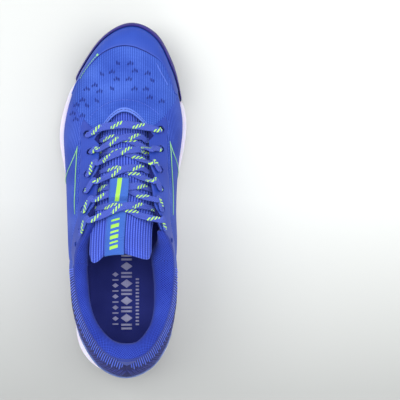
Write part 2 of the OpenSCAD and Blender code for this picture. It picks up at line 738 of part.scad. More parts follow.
// Free end tucked down along the inside of the upper
lateral_tail = [[5.75, 0.80], [6.1, 0.70], [6.6, 0.61], [7.2, 0.54], [7.8, 0.48], [8.4, 0.43]];
medial_tail = [[18.1, 0.82], [17.8, 0.71], [17.3, 0.61], [16.7, 0.54], [16.1, 0.48], [15.5, 0.43]];
tail_depth = -lining_base - 0.5 - half_t;
function tail_points(side, s) =
    let (path = side < 0 ? lateral_tail : medial_tail, q = side < 0 ? lateral_eyelets[5] : medial_eyelets[5])
    concat(hole_points(q, s, -1), [
        for (i = [0:len(path) - 1])
            [on_skin(path[i][0], path[i][1], tail_depth - (i == 0 ? 0.8 : 0.2)),
             s * skin_normal(path[i][0], path[i][1]),
             i == len(path) - 1 ? 1.1 : half_w - 0.8, i == len(path) - 1 ? 0.6 : half_t]
    ]);

// Half of the lace from the bar at the toe end to its free end; side is where it starts
function strand(side) =
    let (
        q = side < 0 ? lateral_eyelets[0] : medial_eyelets[0],
        n = skin_normal(q[0], q[1]),
        up = unit(along_up(q[0], q[1])),
        k = edge_station(side, 56)
    )
    concat(
        [
            [on_skin(k, 0.99, over + 0.2), skin_normal(k, 1), half_w, half_t],
            [on_skin(q[0], q[1], over + 0.2) + 3.6 * up, n, 2.5, half_t]
        ],
        [for (r = [0:4]) each crossing_points(r, r % 2 == 0 ? side : -side, r % 2 == 0 ? 1 : -1)],
        tail_points(-side, -1)
    );
function reversed(list) = [for (i = [len(list) - 1:-1:0]) list[i]];
bar_middle = [[0, 60, 68.6], [0, 0, 1], half_w, half_t];
lace_points = concat(reversed(strand(-1)), [bar_middle], strand(1));

// Section of the lace, a flat rounded strip, as shares of its half width and half thickness
lace_section = [[-1, 0.35], [-0.8, 1], [0.8, 1], [1, 0.35], [1, -0.35], [0.8, -1], [-0.8, -1], [-1, -0.35]];
lace_divisions = 2;

module lace() {
    c = lace_points;
    n = len(c);
    fine = [
        for (i = [0:n - 2]) for (f = [0:lace_divisions - 1])
            let (a = c[max(0, i - 1)], b = c[i], d = c[i + 1], e = c[min(n - 1, i + 2)], t = f / lace_divisions)
            [spline(a[0], b[0], d[0], e[0], t), lerp(b[1], d[1], t), lerp(b[2], d[2], t), lerp(b[3], d[3], t)],
        c[n - 1]
    ];
    m = len(fine);
    rings = [for (i = [0:m - 1])
        let (
            q = fine[i],
            t = unit(fine[min(m - 1, i + 1)][0] - fine[max(0, i - 1)][0]),
            across = unit(cross(t, q[1])),
            face = cross(across, t)
        )
        [for (e = lace_section) q[0] + across * e[0] * q[2] + face * e[1] * q[3]]];
    s = len(lace_section);
    walls = [for (i = [0:m - 2]) for (j = [0:s - 1]) let (g = (j + 1) % s)
        each quad(i * s + j, i * s + s + j, i * s + s + g, i * s + g)];
    ends = concat(
        [for (j = [1:s - 2]) [0, j, j + 1]],
        [for (j = [1:s - 2]) let (e = (m - 1) * s) [e, e + j + 1, e + j]]
    );
    color([0.37, 0.37, 0.8]) polyhedron([for (r = rings) for (p = r) p], concat(walls, ends), convexity = 12);
}

// Stiff tips on the two ends of the lace
aglet_length = 20;
aglet_radius = 1.5;
module aglet(path, tip) {
    n = len(path) - 1;
    end = on_skin(path[n][0], path[n][1], tail_depth - 0.2);
    d = unit(on_skin(tip[0], tip[1], tail_depth - 1.2) - end);
    translate(end + 0.3 * d) rotate([0, acos(d[2]), atan2(d[1], d[0])])
        cylinder(h = aglet_length, r = aglet_radius, $fn = 24);
}

module aglets() {
    color([0.8, 0.9, 0.95]) {
        aglet(lateral_tail, [9.15, 0.40]);
        aglet(medial_tail, [14.75, 0.40]);
    }
}

// ---------- drawing ----------
outsole_forefoot();
outsole_heel();
shank_plate();
midsole();
toe_bumper();
strobel_board();
vamp();
quarter_lateral();
quarter_medial();
heel_panel();
toe_cap();
eyestay_lateral();
eyestay_medial();
heel_cover();
heel_clip();
heel_tab();
accent_line_lateral();
accent_line_medial();
toe_puff();
heel_counter();
eyelet_backer_lateral();
eyelet_backer_medial();
vamp_lining();
collar_foam();
collar_lining();
lace();
aglets();
tongue_cover();
tongue_foam();
tongue_lining();
lace_keeper();
tongue_tip_cover();
tongue_tip_foam();
tongue_tip_lining();
tongue_label();
sockliner_foam();
sockliner_cover();
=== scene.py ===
"""Looks of the court shoe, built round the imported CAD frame.

Lengths are in millimetres until a mesh is made.
"""
import math

import bpy
import numpy as np
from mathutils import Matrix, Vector


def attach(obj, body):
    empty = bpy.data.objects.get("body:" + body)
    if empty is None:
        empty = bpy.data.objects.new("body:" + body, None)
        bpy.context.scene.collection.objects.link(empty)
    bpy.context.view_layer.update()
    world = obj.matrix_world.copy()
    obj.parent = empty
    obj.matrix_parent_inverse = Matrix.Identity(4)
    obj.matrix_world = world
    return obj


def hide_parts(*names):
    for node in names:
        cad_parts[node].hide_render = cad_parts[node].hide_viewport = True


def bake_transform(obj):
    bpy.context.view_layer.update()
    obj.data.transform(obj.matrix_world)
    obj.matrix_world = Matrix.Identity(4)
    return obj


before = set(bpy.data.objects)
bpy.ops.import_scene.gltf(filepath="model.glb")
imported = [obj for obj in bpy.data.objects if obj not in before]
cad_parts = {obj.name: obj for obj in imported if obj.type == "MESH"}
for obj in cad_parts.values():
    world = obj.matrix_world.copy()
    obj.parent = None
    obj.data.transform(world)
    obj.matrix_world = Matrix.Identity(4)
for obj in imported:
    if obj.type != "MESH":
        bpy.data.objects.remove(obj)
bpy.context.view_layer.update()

MM = 0.001

# ---------- driving sizes, the same as the design's ----------
# Stations run round the shoe: 0 heel, 1 to 11 outer side, 12 toe, 13 to 23 inner side.
# Each holds: foot x, y, z, top x, y, z, then the curve handle's length and lean at the foot
# and its length and slope at the top.
STATIONS = np.array([
    [2, -147.5, 34, 2, -126, 92, 22, 14, 20, 80],
    [-18.5, -139.5, 34, -14, -121, 90, 22, 14, 20, 80],
    [-32.5, -121, 33.5, -27, -105, 84, 20, 14, 16, 82],
    [-39.5, -96, 32.5, -35.5, -84, 77, 20, 26, 14, 80],
    [-41, -66, 31.5, -39, -60, 75, 22, 34, 14, 80],
    [-40.5, -32, 30, -37, -40, 82, 26, 38, 20, 70],
    [-43, 0, 28, -27, -18, 94, 26, 30, 30, 46],
    [-49, 30, 25.5, -21.5, 14, 85, 22, 18, 28, 38],
    [-51.7, 58, 23.5, -20.5, 38, 72, 20, 10, 24, 34],
    [-45.5, 87, 24, -19, 54, 63, 20, 10, 26, 24],
    [-34, 113, 27, -12.5, 64, 59, 18, 10, 32, 16],
    [-16, 137, 30.5, -6, 70, 57, 16, 8, 38, 10],
    [6, 147.5, 31.5, 0, 72, 56.5, 16, 6, 42, 7],
    [27, 139, 30.5, 6, 70.5, 57, 16, 8, 38, 10],
    [40.5, 116, 27, 12.5, 65.5, 59, 18, 10, 32, 16],
    [47.5, 91, 24, 19, 57, 63, 20, 10, 26, 24],
    [51.7, 62, 23.5, 20.5, 41, 72, 20, 10, 24, 34],
    [47.5, 31, 25.5, 21.5, 16, 85, 20, 12, 26, 38],
    [41, 0, 28, 27, -17, 94, 24, 22, 28, 48],
    [38.5, -32, 30, 37, -38, 82, 26, 34, 20, 70],
    [39.5, -66, 31.5, 39, -60, 75, 22, 38, 14, 80],
    [40.5, -96, 32.5, 36.5, -84, 77, 20, 26, 14, 80],
    [36, -121, 33.5, 29, -105, 84, 20, 14, 16, 82],
    [22.5, -139.5, 34, 17, -121, 90, 22, 14, 20, 80],
], float)
COUNT = len(STATIONS)
HEEL, TOE = 0, 12
UPPER_INSET = 3
OUTSOLE = 3.5
TEXTILE = 1.1
LINING_TOP = 2.3
LINING_BASE = 3.2
EYELET_RADIUS = 2.8
SPARE_RADIUS = 2
COLLAR_PADDING = 5.6
OVERLAY_TOP = 1.05
SOCKLINER_TOP = 6.5
LATERAL_EYELETS = [[8.52, 0.80], [7.92, 0.87], [7.16, 0.85], [6.71, 0.86], [6.24, 0.87], [5.61, 0.90]]
MEDIAL_EYELETS = [[15.42, 0.81], [16.14, 0.83], [16.77, 0.86], [17.27, 0.88], [17.73, 0.91], [18.25, 0.94]]
LATERAL_SPARE = [5.13, 0.88]
MEDIAL_SPARE = [18.81, 0.90]
# each hole: station, height fraction, radius
LATERAL_HOLES = [[*q, EYELET_RADIUS] for q in LATERAL_EYELETS] + [[*LATERAL_SPARE, SPARE_RADIUS]]
MEDIAL_HOLES = [[*q, EYELET_RADIUS] for q in MEDIAL_EYELETS] + [[*MEDIAL_SPARE, SPARE_RADIUS]]
FILM_FACE = 0.62


# ---------- small helpers ----------
def lerp(a, b, t):
    return a + (b - a) * t


def smooth(t):
    t = np.clip(t, 0, 1)
    return t * t * (3 - 2 * t)


def unit(v):
    return v / np.linalg.norm(v, axis=-1, keepdims=True)


def spline(a, b, c, d, f):
    return 0.5 * (2 * b + (c - a) * f + (2 * a - 5 * b + 4 * c - d) * f**2 + (3 * b - a - 3 * c + d) * f**3)


def table(points, x):
    """Height of the line through [x, value] points."""
    points = np.array(points, float)
    return np.interp(x, points[:, 0], points[:, 1])


def lengths(line):
    """Distance along a line at each of its points."""
    return np.concatenate([[0], np.cumsum(np.linalg.norm(np.diff(line, axis=0), axis=-1))])


def curve(points, per_span):
    """Points of a smooth line through the given ones, per_span to each stretch."""
    p = np.array(points, float)
    p = np.vstack([2 * p[0] - p[1], p, 2 * p[-1] - p[-2]])
    f = np.linspace(0, 1, per_span, endpoint=False)[:, None]
    spans = [spline(p[i], p[i + 1], p[i + 2], p[i + 3], f) for i in range(len(p) - 3)]
    return np.vstack([*spans, p[-2]])


def eased(n, edge=0.02):
    """n steps from 0 to 1 with extra lines close to both ends, for rounded edges."""
    inner = np.linspace(edge, 1 - edge, n)
    return np.concatenate([[0, edge * 0.12, edge * 0.4], inner, [1 - edge * 0.4, 1 - edge * 0.12, 1]])


def edge_round(t, edge=0.02):
    """0 at the two ends of eased(), 1 from edge inwards, with a round shoulder."""
    d = np.clip(np.minimum(t, 1 - t) / edge, 0, 1)
    return np.sqrt(1 - (1 - d) ** 2)


# ---------- the upper's base surface, as in the design ----------
def station(k):
    k = np.asarray(k, float) % COUNT
    i = np.floor(k).astype(int)
    f = (k - i)[..., None]
    return spline(*(STATIONS[(i + j) % COUNT] for j in (-1, 0, 1, 2)), f)


def outward(k):
    k = np.asarray(k, float)
    d = unit(station(k + 0.05)[..., :2] - station(k - 0.05)[..., :2])
    return np.stack([-d[..., 1], d[..., 0]], -1)


def outline(k, d):
    return station(k)[..., :2] + outward(k) * np.asarray(d, float)[..., None]


def skin(k, w):
    k, w = np.broadcast_arrays(np.asarray(k, float), np.asarray(w, float))
    r, o = station(k), outward(k)
    w = w[..., None]
    foot = np.concatenate([r[..., :2] - o * UPPER_INSET, r[..., 2:3]], -1)
    top = r[..., 3:6]
    side = unit(unit(foot[..., :2] - top[..., :2]) + o)
    lean, slope = np.radians(r[..., 7:8]), np.radians(r[..., 9:10])
    a = foot + r[..., 6:7] * np.concatenate([o * np.sin(lean), np.cos(lean)], -1)
    b = top + r[..., 8:9] * np.concatenate([side * np.cos(slope), -np.sin(slope)], -1)
    v = 1 - w
    return v**3 * foot + 3 * v * v * w * a + 3 * v * w * w * b + w**3 * top


def along_up(k, w):
    w = np.asarray(w, float)
    return skin(k, np.minimum(1, w + 0.001)) - skin(k, np.maximum(0, w - 0.001))


def skin_normal(k, w):
    k = np.asarray(k, float)
    return unit(np.cross(along_up(k, w), skin(k + 0.01, w) - skin(k - 0.01, w)))


def on_skin(k, w, off):
    return skin(k, w) + np.asarray(off, float)[..., None] * skin_normal(k, w)


def past_top(k, w, off, up):
    return on_skin(k, w, off) + np.asarray(up, float)[..., None] * unit(along_up(k, w))


def line_on(k, w, off):
    """Points of a line on the upper and the ways they face, as stitches() and sweep() take them."""
    return on_skin(k, w, off), skin_normal(k, w)


def raised(base, thick, edge):
    """Offset of a film's face, for panel(): base at the border, thick above it inside."""
    return lambda k, w, t: base + thick * edge_round(t, edge)


def locate(points):
    """Station and height fraction of the upper above each plan position [x, y]."""
    ks, ws = np.linspace(8, 16.5, 511), np.linspace(0.02, 1, 148)
    grid = skin(ks[:, None], ws[None, :])[..., :2]
    found = []
    for p in points:
        i, j = np.unravel_index(np.argmin(((grid - p) ** 2).sum(-1)), grid.shape[:2])
        found.append([ks[i], ws[j]])
    return np.array(found)


# ---------- sole heights ----------
def spring(y):
    return np.where(y > 70, 14 * ((y - 70) / 77.5) ** 2, 0)


def ground(y):
    return spring(y) + np.where(y < -125, 3 * ((-125 - y) / 22.5) ** 2, 0)


def bed(y):
    return lerp(13, 21, 1 - smooth((y + 60) / 80)) + 0.85 * spring(y)


def midsole_base(y):
    return ground(y) + OUTSOLE + 0.1


def recess(k):
    """How far the midsole steps back under the toe bumper."""
    return 1.8 * smooth((k - 9.1) / 0.5) * smooth((15.6 - k) / 0.5)


def flare(k):
    """How far the midsole's lip stands out past the design's outline, most behind the outer heel."""
    # depth, middle and half length of each swell
    swells = ((1.5, 7.8, 2.2), (1.4, 16.1, 2.2), (3.8, 1.9, 1.5), (1.2, 22.2, 1.4))
    return sum(depth * smooth(1 - abs(k - centre) / reach) for depth, centre, reach in swells)


def rim(y):
    return 2.6 * (1 - smooth((y + 20) / 60))


def plan_span(inset, y):
    """Lowest and highest x of the sole at each y, inset inwards from its outline."""
    outer = outline(np.linspace(HEEL, TOE, 400), -inset)
    inner = outline(np.linspace(COUNT, TOE, 400), -inset)
    return np.interp(y, outer[:, 1], outer[:, 0]), np.interp(y, inner[:, 1], inner[:, 0])


def sole_ends(inset):
    """y of the heel and toe ends of the inset outline."""
    return outline(np.array([HEEL, TOE]), -inset)[:, 1]


def plan_rows(inset, n):
    """y places between the ends of the inset outline, closer together where it turns round."""
    back, front = sole_ends(inset)
    turn = 0.5 - 0.5 * np.cos(np.linspace(0, np.pi, n))
    return lerp(back + 0.01, front - 0.01, turn)


# ---------- meshes ----------
def add_object(name, data):
    obj = bpy.data.objects.new(name, data)
    bpy.context.scene.collection.objects.link(obj)
    return obj


def grid_faces(ni, nj):
    idx = np.arange(ni * nj).reshape(ni, nj)
    return np.stack([idx[:-1, :-1], idx[1:, :-1], idx[1:, 1:], idx[:-1, 1:]], -1).reshape(-1, 4).tolist()


def mesh_object(name, points, faces, body, material, nodes=(), weave=None, marks=None):
    """Object from points in millimetres; weave holds cloth coordinates, marks one number a point."""
    points = np.asarray(points, float).reshape(-1, 3)
    used = np.unique(np.concatenate([np.ravel(f) for f in faces]))
    renumber = np.full(len(points), -1)
    renumber[used] = np.arange(len(used))
    polygons = [row for f in faces for row in renumber[np.asarray(f)].tolist()]
    mesh = bpy.data.meshes.new(name)
    mesh.from_pydata((points[used] * MM).tolist(), [], polygons)
    mesh.validate(clean_customdata=False)
    mesh.shade_smooth()
    if weave is not None:
        layer = mesh.attributes.new("weave", "FLOAT_VECTOR", "POINT")
        data = np.zeros((len(used), 3), np.float32)
        data[:, :2] = np.asarray(weave, float).reshape(-1, 2)[used]
        layer.data.foreach_set("vector", data.ravel())
    for key, values in (marks or {}).items():
        layer = mesh.attributes.new(key, "FLOAT", "POINT")
        layer.data.foreach_set("value", np.asarray(values, np.float32).ravel()[used])
    obj = add_object(name, mesh)
    mesh.materials.append(material)
    if body:
        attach(obj, body)
    if nodes:
        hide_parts(*nodes)
    return obj


def shell_faces(ni, nj, keep, loop):
    """Faces of a solid sheet: two grids of ni by nj points, joined round the border of the kept quads."""
    n = ni * nj
    idx = np.arange(n).reshape(ni, nj)
    rows = np.arange(ni if loop else ni - 1)
    near, far = idx[rows], idx[(rows + 1) % ni]
    quads = np.stack([near[:, :-1], far[:, :-1], far[:, 1:], near[:, 1:]], -1)
    if keep is None:
        keep = np.ones(quads.shape[:2], bool)
    blank = np.zeros((1, keep.shape[1]), bool)
    before = keep[-1:] if loop else blank
    after = keep[:1] if loop else blank
    previous, following = np.vstack([before, keep[:-1]]), np.vstack([keep[1:], after])
    column = np.zeros((keep.shape[0], 1), bool)
    lower, upper = np.hstack([column, keep[:, :-1]]), np.hstack([keep[:, 1:], column])
    faces = [quads[keep], quads[keep][:, ::-1] + n]
    for corner, neighbour in enumerate((lower, following, upper, previous)):
        edge = keep & ~neighbour
        p, q = quads[edge][:, corner], quads[edge][:, (corner + 1) % 4]
        faces.append(np.stack([q, p, p + n, q + n], -1))
    return [f for f in faces if len(f)]


def shell(name, outer, inner, body, material, nodes=(), keep=None, loop=False, weave=None, marks=None):
    """Closed sheet between two grids of points."""
    ni, nj = outer.shape[:2]

    def both(a):
        return None if a is None else np.concatenate([a.reshape(ni * nj, -1)] * 2)

    return mesh_object(
        name, np.concatenate([outer.reshape(-1, 3), inner.reshape(-1, 3)]), shell_faces(ni, nj, keep, loop),
        body, material, nodes, both(weave), {k: both(np.asarray(v)) for k, v in (marks or {}).items()})


def sheets(name, pairs, body, material):
    """One object of several small closed sheets, each between two grids of points."""
    points, faces, start = [], [], 0
    for top, base in pairs:
        points += [top.reshape(-1, 3), base.reshape(-1, 3)]
        faces += [f + start for f in shell_faces(*top.shape[:2], None, False)]
        start += 2 * top[..., 0].size
    return mesh_object(name, np.concatenate(points), faces, body, material)


def punch(outer, inner, base, holes):
    """Opens round holes in a pair of grids. Each hole is [station, height fraction, radius]."""
    ni, nj = base.shape[:2]
    keep = np.ones((ni - 1, nj - 1), bool)
    for k, w, radius in holes:
        n, centre = skin_normal(k, w), skin(k, w)
        away = base - centre
        height = away @ n
        flat = away - height[..., None] * n
        distance = np.linalg.norm(flat, axis=-1)
        inside = (distance < radius) & (abs(height) < 8)
        cell = inside[:-1, :-1] | inside[1:, :-1] | inside[:-1, 1:] | inside[1:, 1:]
        keep &= ~cell
        touched = np.zeros((ni, nj), bool)
        for di in (0, 1):
            for dj in (0, 1):
                touched[di:ni - 1 + di, dj:nj - 1 + dj] |= cell
        rimmed = touched & ~inside
        shift = (radius - distance)[..., None] * flat / np.maximum(distance, 1e-6)[..., None]
        outer[rimmed] += shift[rimmed]
        inner[rimmed] += shift[rimmed]
    return keep


def surface_weave(k, w):
    """Cloth coordinates in millimetres: round the shoe and up its side."""
    around = np.linspace(0, COUNT, 961)
    length = lengths(skin(around, 0.35))
    up = np.linalg.norm(skin(k, 1.0) - skin(k, 0.0), axis=-1)
    k, w = np.broadcast_arrays(k, w)
    return np.stack([np.interp(k % COUNT, around, length), w * up], -1)


def panel(name, ks, low, high, n, outer_off, inner_off, material, nodes=(), holes=(), marks=None, edge=0.02):
    """Layer of the upper; low and high are its edges at ks.

    Offsets are numbers or functions of station, height fraction and share of the panel's own height.
    """
    ts = eased(n, edge)
    k = np.broadcast_to(ks[:, None], (len(ks), len(ts)))
    t = np.broadcast_to(ts[None, :], k.shape)
    w = lerp(np.broadcast_to(low, ks.shape)[:, None], np.broadcast_to(high, ks.shape)[:, None], t)
    base, normal = skin(k, w), skin_normal(k, w)
    outer, inner = (base + (off(k, w, t)[..., None] if callable(off) else off) * normal
                    for off in (outer_off, inner_off))
    keep = punch(outer, inner, base, holes) if len(holes) else None
    values = {key: f(k, w, outer) for key, f in (marks or {}).items()}
    return shell(name, outer, inner, "shoe", material, nodes, keep, False, surface_weave(k, w), values)


def sweep(name, paths, section, body, material, nodes=(), turned=1):
    """Closed bars along paths. A path is (points, faces up, half widths, half heights); section is in shares.

    turned is -1 where a flat bar shows its other face, so that a woven pattern runs the same way on both.
    """
    points, faces, cloth, start = [], [], [], 0
    section = np.array(section, float)
    m = len(section)
    for path, up, width, height in paths:
        path = np.asarray(path, float)
        n = len(path)
        tangent = unit(np.gradient(path, axis=0))
        up = np.broadcast_to(np.asarray(up, float), path.shape)
        across = unit(np.cross(tangent, up))
        face = np.cross(across, tangent)
        width = np.broadcast_to(width, (n,))[:, None, None]
        height = np.broadcast_to(height, (n,))[:, None, None]
        ring = (path[:, None] + across[:, None] * section[None, :, :1] * width
                + face[:, None] * section[None, :, 1:] * height)
        idx = start + np.arange(n * m).reshape(n, m)
        a, b = idx[:-1], idx[1:]
        faces.append(np.stack([a, b, np.roll(b, -1, 1), np.roll(a, -1, 1)], -1).reshape(-1, 4))
        faces += [idx[:1], idx[-1:, ::-1]]
        along = lengths(path)
        flat = section[None, :, 0] * width[:, :, 0] * np.broadcast_to(turned, (n,))[:, None]
        cloth.append(np.stack([np.broadcast_to(along[:, None], flat.shape), flat], -1).reshape(-1, 2))
        points.append(ring.reshape(-1, 3))
        start += n * m
    return mesh_object(name, np.concatenate(points), faces, body, material, nodes, np.concatenate(cloth))


def oval(n):
    a = np.linspace(0, 2 * np.pi, n, endpoint=False)
    return np.stack([np.cos(a), np.sin(a)], -1)


def stitches(name, line, normals, pitch, length, lift, body, material, thick=0.28):
    """Row of thread stitches along a line of points, each a short bowed stroke."""
    steps_along = lengths(line)
    paths = []
    for s in np.arange(pitch / 2, steps_along[-1] - length / 2, pitch):
        at = s + np.linspace(-length / 2, length / 2, 7)
        p = np.stack([np.interp(at, steps_along, line[:, c]) for c in range(3)], -1)
        n = unit(np.stack([np.interp(at, steps_along, normals[:, c]) for c in range(3)], -1))
        bow = lift * np.sqrt(np.clip(1 - np.linspace(-1, 1, 7) ** 2, 0, 1)) - 0.12
        paths.append((p + n * bow[:, None], n, thick, thick * 0.8))
    return sweep(name, paths, oval(6), body, material)


# ---------- materials ----------
def linear(rgb):
    c = np.array(rgb, float) / 255
    return tuple(np.where(c <= 0.04045, c / 12.92, ((c + 0.055) / 1.055) ** 2.4)) + (1.0,)


class Shade:
    """A material being wired up. Each method adds one node and returns its output."""

    def __init__(self, name, roughness, specular=0.5, **settings):
        self.material = bpy.data.materials.new(name)
        self.material.use_nodes = True
        self.tree = self.material.node_tree
        self.surface = self.tree.nodes["Principled BSDF"]
        self.surface.inputs["Roughness"].default_value = roughness
        self.surface.inputs["Specular IOR Level"].default_value = specular
        for key, value in settings.items():
            self.surface.inputs[key.replace("_", " ")].default_value = value

    def node(self, kind, output=0, props=None, **inputs):
        node = self.tree.nodes.new(kind)
        for key, value in (props or {}).items():
            setattr(node, key, value)
        for key, value in inputs.items():
            socket = node.inputs[int(key[1:])] if key[0] == "i" and key[1:].isdigit() else node.inputs[key]
            if isinstance(value, bpy.types.NodeSocket):
                self.tree.links.new(value, socket)
            else:
                socket.default_value = value
        return node.outputs[output]

    def math(self, operation, a, b=0.0, c=0.0):
        return self.node("ShaderNodeMath", props={"operation": operation}, i0=a, i1=b, i2=c)

    def weave(self):
        return self.node("ShaderNodeAttribute", "Vector", {"attribute_name": "weave"})

    def mark(self, name):
        return self.node("ShaderNodeAttribute", "Fac", {"attribute_name": name})

    def place(self, scale=1000.0):
        """Position on the object in millimetres times the scale over a thousand."""
        rest = self.node("ShaderNodeTexCoord", "Object")
        return self.node("ShaderNodeVectorMath", props={"operation": "SCALE"}, i0=rest, Scale=scale)

    def split(self, vector):
        node = self.tree.nodes.new("ShaderNodeSeparateXYZ")
        self.tree.links.new(vector, node.inputs[0])
        return node.outputs

    def noise(self, vector, scale, detail=3.0):
        return self.node("ShaderNodeTexNoise", "Fac", Vector=vector, Scale=scale, Detail=detail)

    def wave(self, value, pitch):
        """Smooth wave from 0 to 1 of a coordinate in millimetres."""
        turn = self.math("MULTIPLY", value, 2 * math.pi / pitch)
        return self.math("MULTIPLY_ADD", self.math("SINE", turn), 0.5, 0.5)

    def total(self, *parts):
        """Sum of (socket, share) parts, each socket times its share."""
        sockets = [socket if share == 1 else self.math("MULTIPLY", socket, share) for socket, share in parts]
        result = sockets[0]
        for socket in sockets[1:]:
            result = self.math("ADD", result, socket)
        return result

    def ramp(self, value, *stops):
        """Colours by value; stops are (place, sRGB colour)."""
        node = self.tree.nodes.new("ShaderNodeValToRGB")
        self.tree.links.new(value, node.inputs[0])
        elements = node.color_ramp.elements
        while len(elements) < len(stops):
            elements.new(0.5)
        for element, (place, colour) in zip(elements, stops):
            element.position = place
            element.color = linear(colour)
        return node.outputs["Color"]

    def mix(self, factor, a, b):
        """Mix of two colours, each a socket or an sRGB colour."""
        node = self.tree.nodes.new("ShaderNodeMix")
        node.data_type = "RGBA"
        for socket, value in ((node.inputs[0], factor), (node.inputs[6], a), (node.inputs[7], b)):
            if isinstance(value, bpy.types.NodeSocket):
                self.tree.links.new(value, socket)
            else:
                socket.default_value = linear(value) if isinstance(value, tuple) else value
        return node.outputs[2]

    def bump(self, height, distance, strength=1.0):
        node = self.tree.nodes.new("ShaderNodeBump")
        node.inputs["Strength"].default_value = strength
        node.inputs["Distance"].default_value = distance * MM
        self.tree.links.new(height, node.inputs["Height"])
        return node.outputs["Normal"]

    def finish(self, colour, normal=None, roughness=None):
        for socket, value in (("Base Color", colour), ("Normal", normal), ("Roughness", roughness)):
            if value is not None:
                self.tree.links.new(value, self.surface.inputs[socket])
        return self.material

    def rough(self, value, low, high):
        return self.math("MULTIPLY_ADD", value, high - low, low)


def knit(name, dark, mid, light, direction, rib_pitch):
    """Engineered knit: lengthwise ribs, a fine stitch across them, soft colour drift and pierced spots."""
    s = Shade(name, 0.8, 0.2, Sheen_Weight=0.06, Sheen_Roughness=0.5)
    place = s.place()
    x, y, z = s.split(place)
    across, up = x, s.math("ADD", y, z)
    if direction == "up":
        run, rise, _ = s.split(s.weave())
        across, up = rise, run
    ribs = s.wave(across, rib_pitch)
    loops = s.wave(s.total((up, 1), (ribs, 0.35)), 0.9)
    fuzz = s.noise(place, 1.6)
    drift = s.noise(place, 0.035, 2.0)
    cloth = s.total((ribs, 0.42), (loops, 0.22), (fuzz, 0.3))
    colour = s.ramp(s.total((cloth, 0.6), (drift, 0.5)), (0.3, dark), (0.52, mid), (0.8, light))
    colour = s.mix(s.mark("pierced"), colour, (24, 36, 112))
    return s.finish(colour, s.bump(cloth, 0.22, 0.9), s.rough(fuzz, 0.7, 0.92))


def ribbed(name, valley, middle, crest):
    """Padded rib knit of the tongue: coloured by its ridges, with painted shade in the valleys and painted
    highlight on the crests, and small stitches along each one.
    """
    s = Shade(name, 0.8, 0.2, Sheen_Weight=0.08, Sheen_Roughness=0.5)
    across, along, _ = s.split(s.weave())
    fuzz = s.noise(s.place(), 1.8)
    loops = s.wave(along, 1.6)
    ridge = s.mark("ridge")
    # the ridge mark darkens the rib valleys and lightens the crests: painted shade and painted highlight
    tone = s.total((ridge, 0.72), (fuzz, 0.16), (loops, 0.1))
    colour = s.ramp(tone, (0.15, valley), (0.55, middle), (0.95, crest))
    height = s.total((loops, 0.6), (fuzz, 1))
    return s.finish(colour, s.bump(height, 0.18, 0.9), s.rough(fuzz, 0.7, 0.92))


def mesh_knit(name, dark, mid, light, pitch):
    """Padded collar knit: small diamonds between crossing threads."""
    s = Shade(name, 0.85, 0.2, Sheen_Weight=0.08, Sheen_Roughness=0.45)
    u, v, _ = s.split(s.weave())
    one = s.wave(s.math("ADD", u, v), pitch)
    two = s.wave(s.math("SUBTRACT", u, v), pitch)
    threads = s.math("MAXIMUM", one, two)
    cells = s.math("MULTIPLY", s.math("SUBTRACT", 1.0, one), s.math("SUBTRACT", 1.0, two))
    fuzz = s.noise(s.place(), 2.2)
    drift = s.math("MULTIPLY_ADD", s.noise(s.place(), 0.05, 1.0), 0.3, -0.12)
    tone = s.total((threads, 0.55), (fuzz, 0.4), (cells, -0.4), (drift, 1))
    colour = s.ramp(tone, (0.15, dark), (0.5, mid), (0.85, light))
    return s.finish(colour, s.bump(tone, 0.3, 0.9), s.rough(fuzz, 0.75, 0.95))


def film(name, dark, light, roughness=0.42):
    """Welded film: smooth, slightly satin, with a fine grain and the cloth showing faintly through."""
    s = Shade(name, roughness, 0.4, Coat_Weight=0.08, Coat_Roughness=0.35)
    place = s.place()
    pores = s.noise(place, 2.6, 4.0)
    drift = s.noise(place, 0.03, 2.0)
    x, _, _ = s.split(place)
    ghost = s.wave(x, 1.5)
    tone = s.total((drift, 0.7), (pores, 0.2), (ghost, 0.06))
    normal = s.bump(s.total((pores, 1), (ghost, 0.4)), 0.05, 0.7)
    colour = s.ramp(tone, (0.3, dark), (0.7, light))
    return s.finish(colour, normal, s.rough(pores, roughness - 0.06, roughness + 0.12))


def moulded(name, dark, light, roughness, grain, scuffs=(0, 0, 0), scuff_share=0.0, subsurface=0.0):
    """Moulded foam or rubber: cells, soft mottling and light scuffs where it rubs."""
    s = Shade(name, roughness, 0.35, Subsurface_Weight=subsurface, Subsurface_Scale=0.004)
    place = s.place()
    cells = s.node("ShaderNodeTexVoronoi", "Distance", Vector=place, Scale=1.1)
    mottle = s.noise(place, 0.08, 4.0)
    fine = s.noise(place, 3.5)
    colour = s.ramp(s.total((mottle, 0.7), (fine, 0.25)), (0.25, dark), (0.75, light))
    if scuff_share:
        wear = s.noise(place, 0.35, 5.0)
        rubbed = s.node("ShaderNodeMapRange", i0=wear, i1=0.6, i2=0.75, i3=0.0, i4=scuff_share)
        colour = s.mix(rubbed, colour, scuffs)
    normal = s.bump(s.math("ADD", cells, fine), grain, 0.6)
    return s.finish(colour, normal, s.rough(mottle, roughness - 0.1, roughness + 0.12))


def twill(name, dark, light, pitch, roughness=0.8):
    """Woven lining, board or insole cloth: a fine slanted weave with thread fuzz."""
    s = Shade(name, roughness, 0.2, Sheen_Weight=0.05, Sheen_Roughness=0.6)
    place = s.place()
    x, y, z = s.split(place)
    long = s.math("ADD", y, z)
    warp = s.wave(s.math("ADD", x, long), pitch)
    weft = s.wave(long, pitch * 0.8)
    fuzz = s.noise(place, 2.5)
    drift = s.noise(place, 0.04, 2.0)
    cloth = s.total((warp, 0.4), (weft, 0.3), (fuzz, 0.3))
    tone = s.total((cloth, 0.6), (drift, 0.5))
    colour = s.ramp(tone, (0.3, dark), (0.8, light))
    return s.finish(colour, s.bump(cloth, 0.15, 0.8), s.rough(fuzz, 0.7, 0.95))


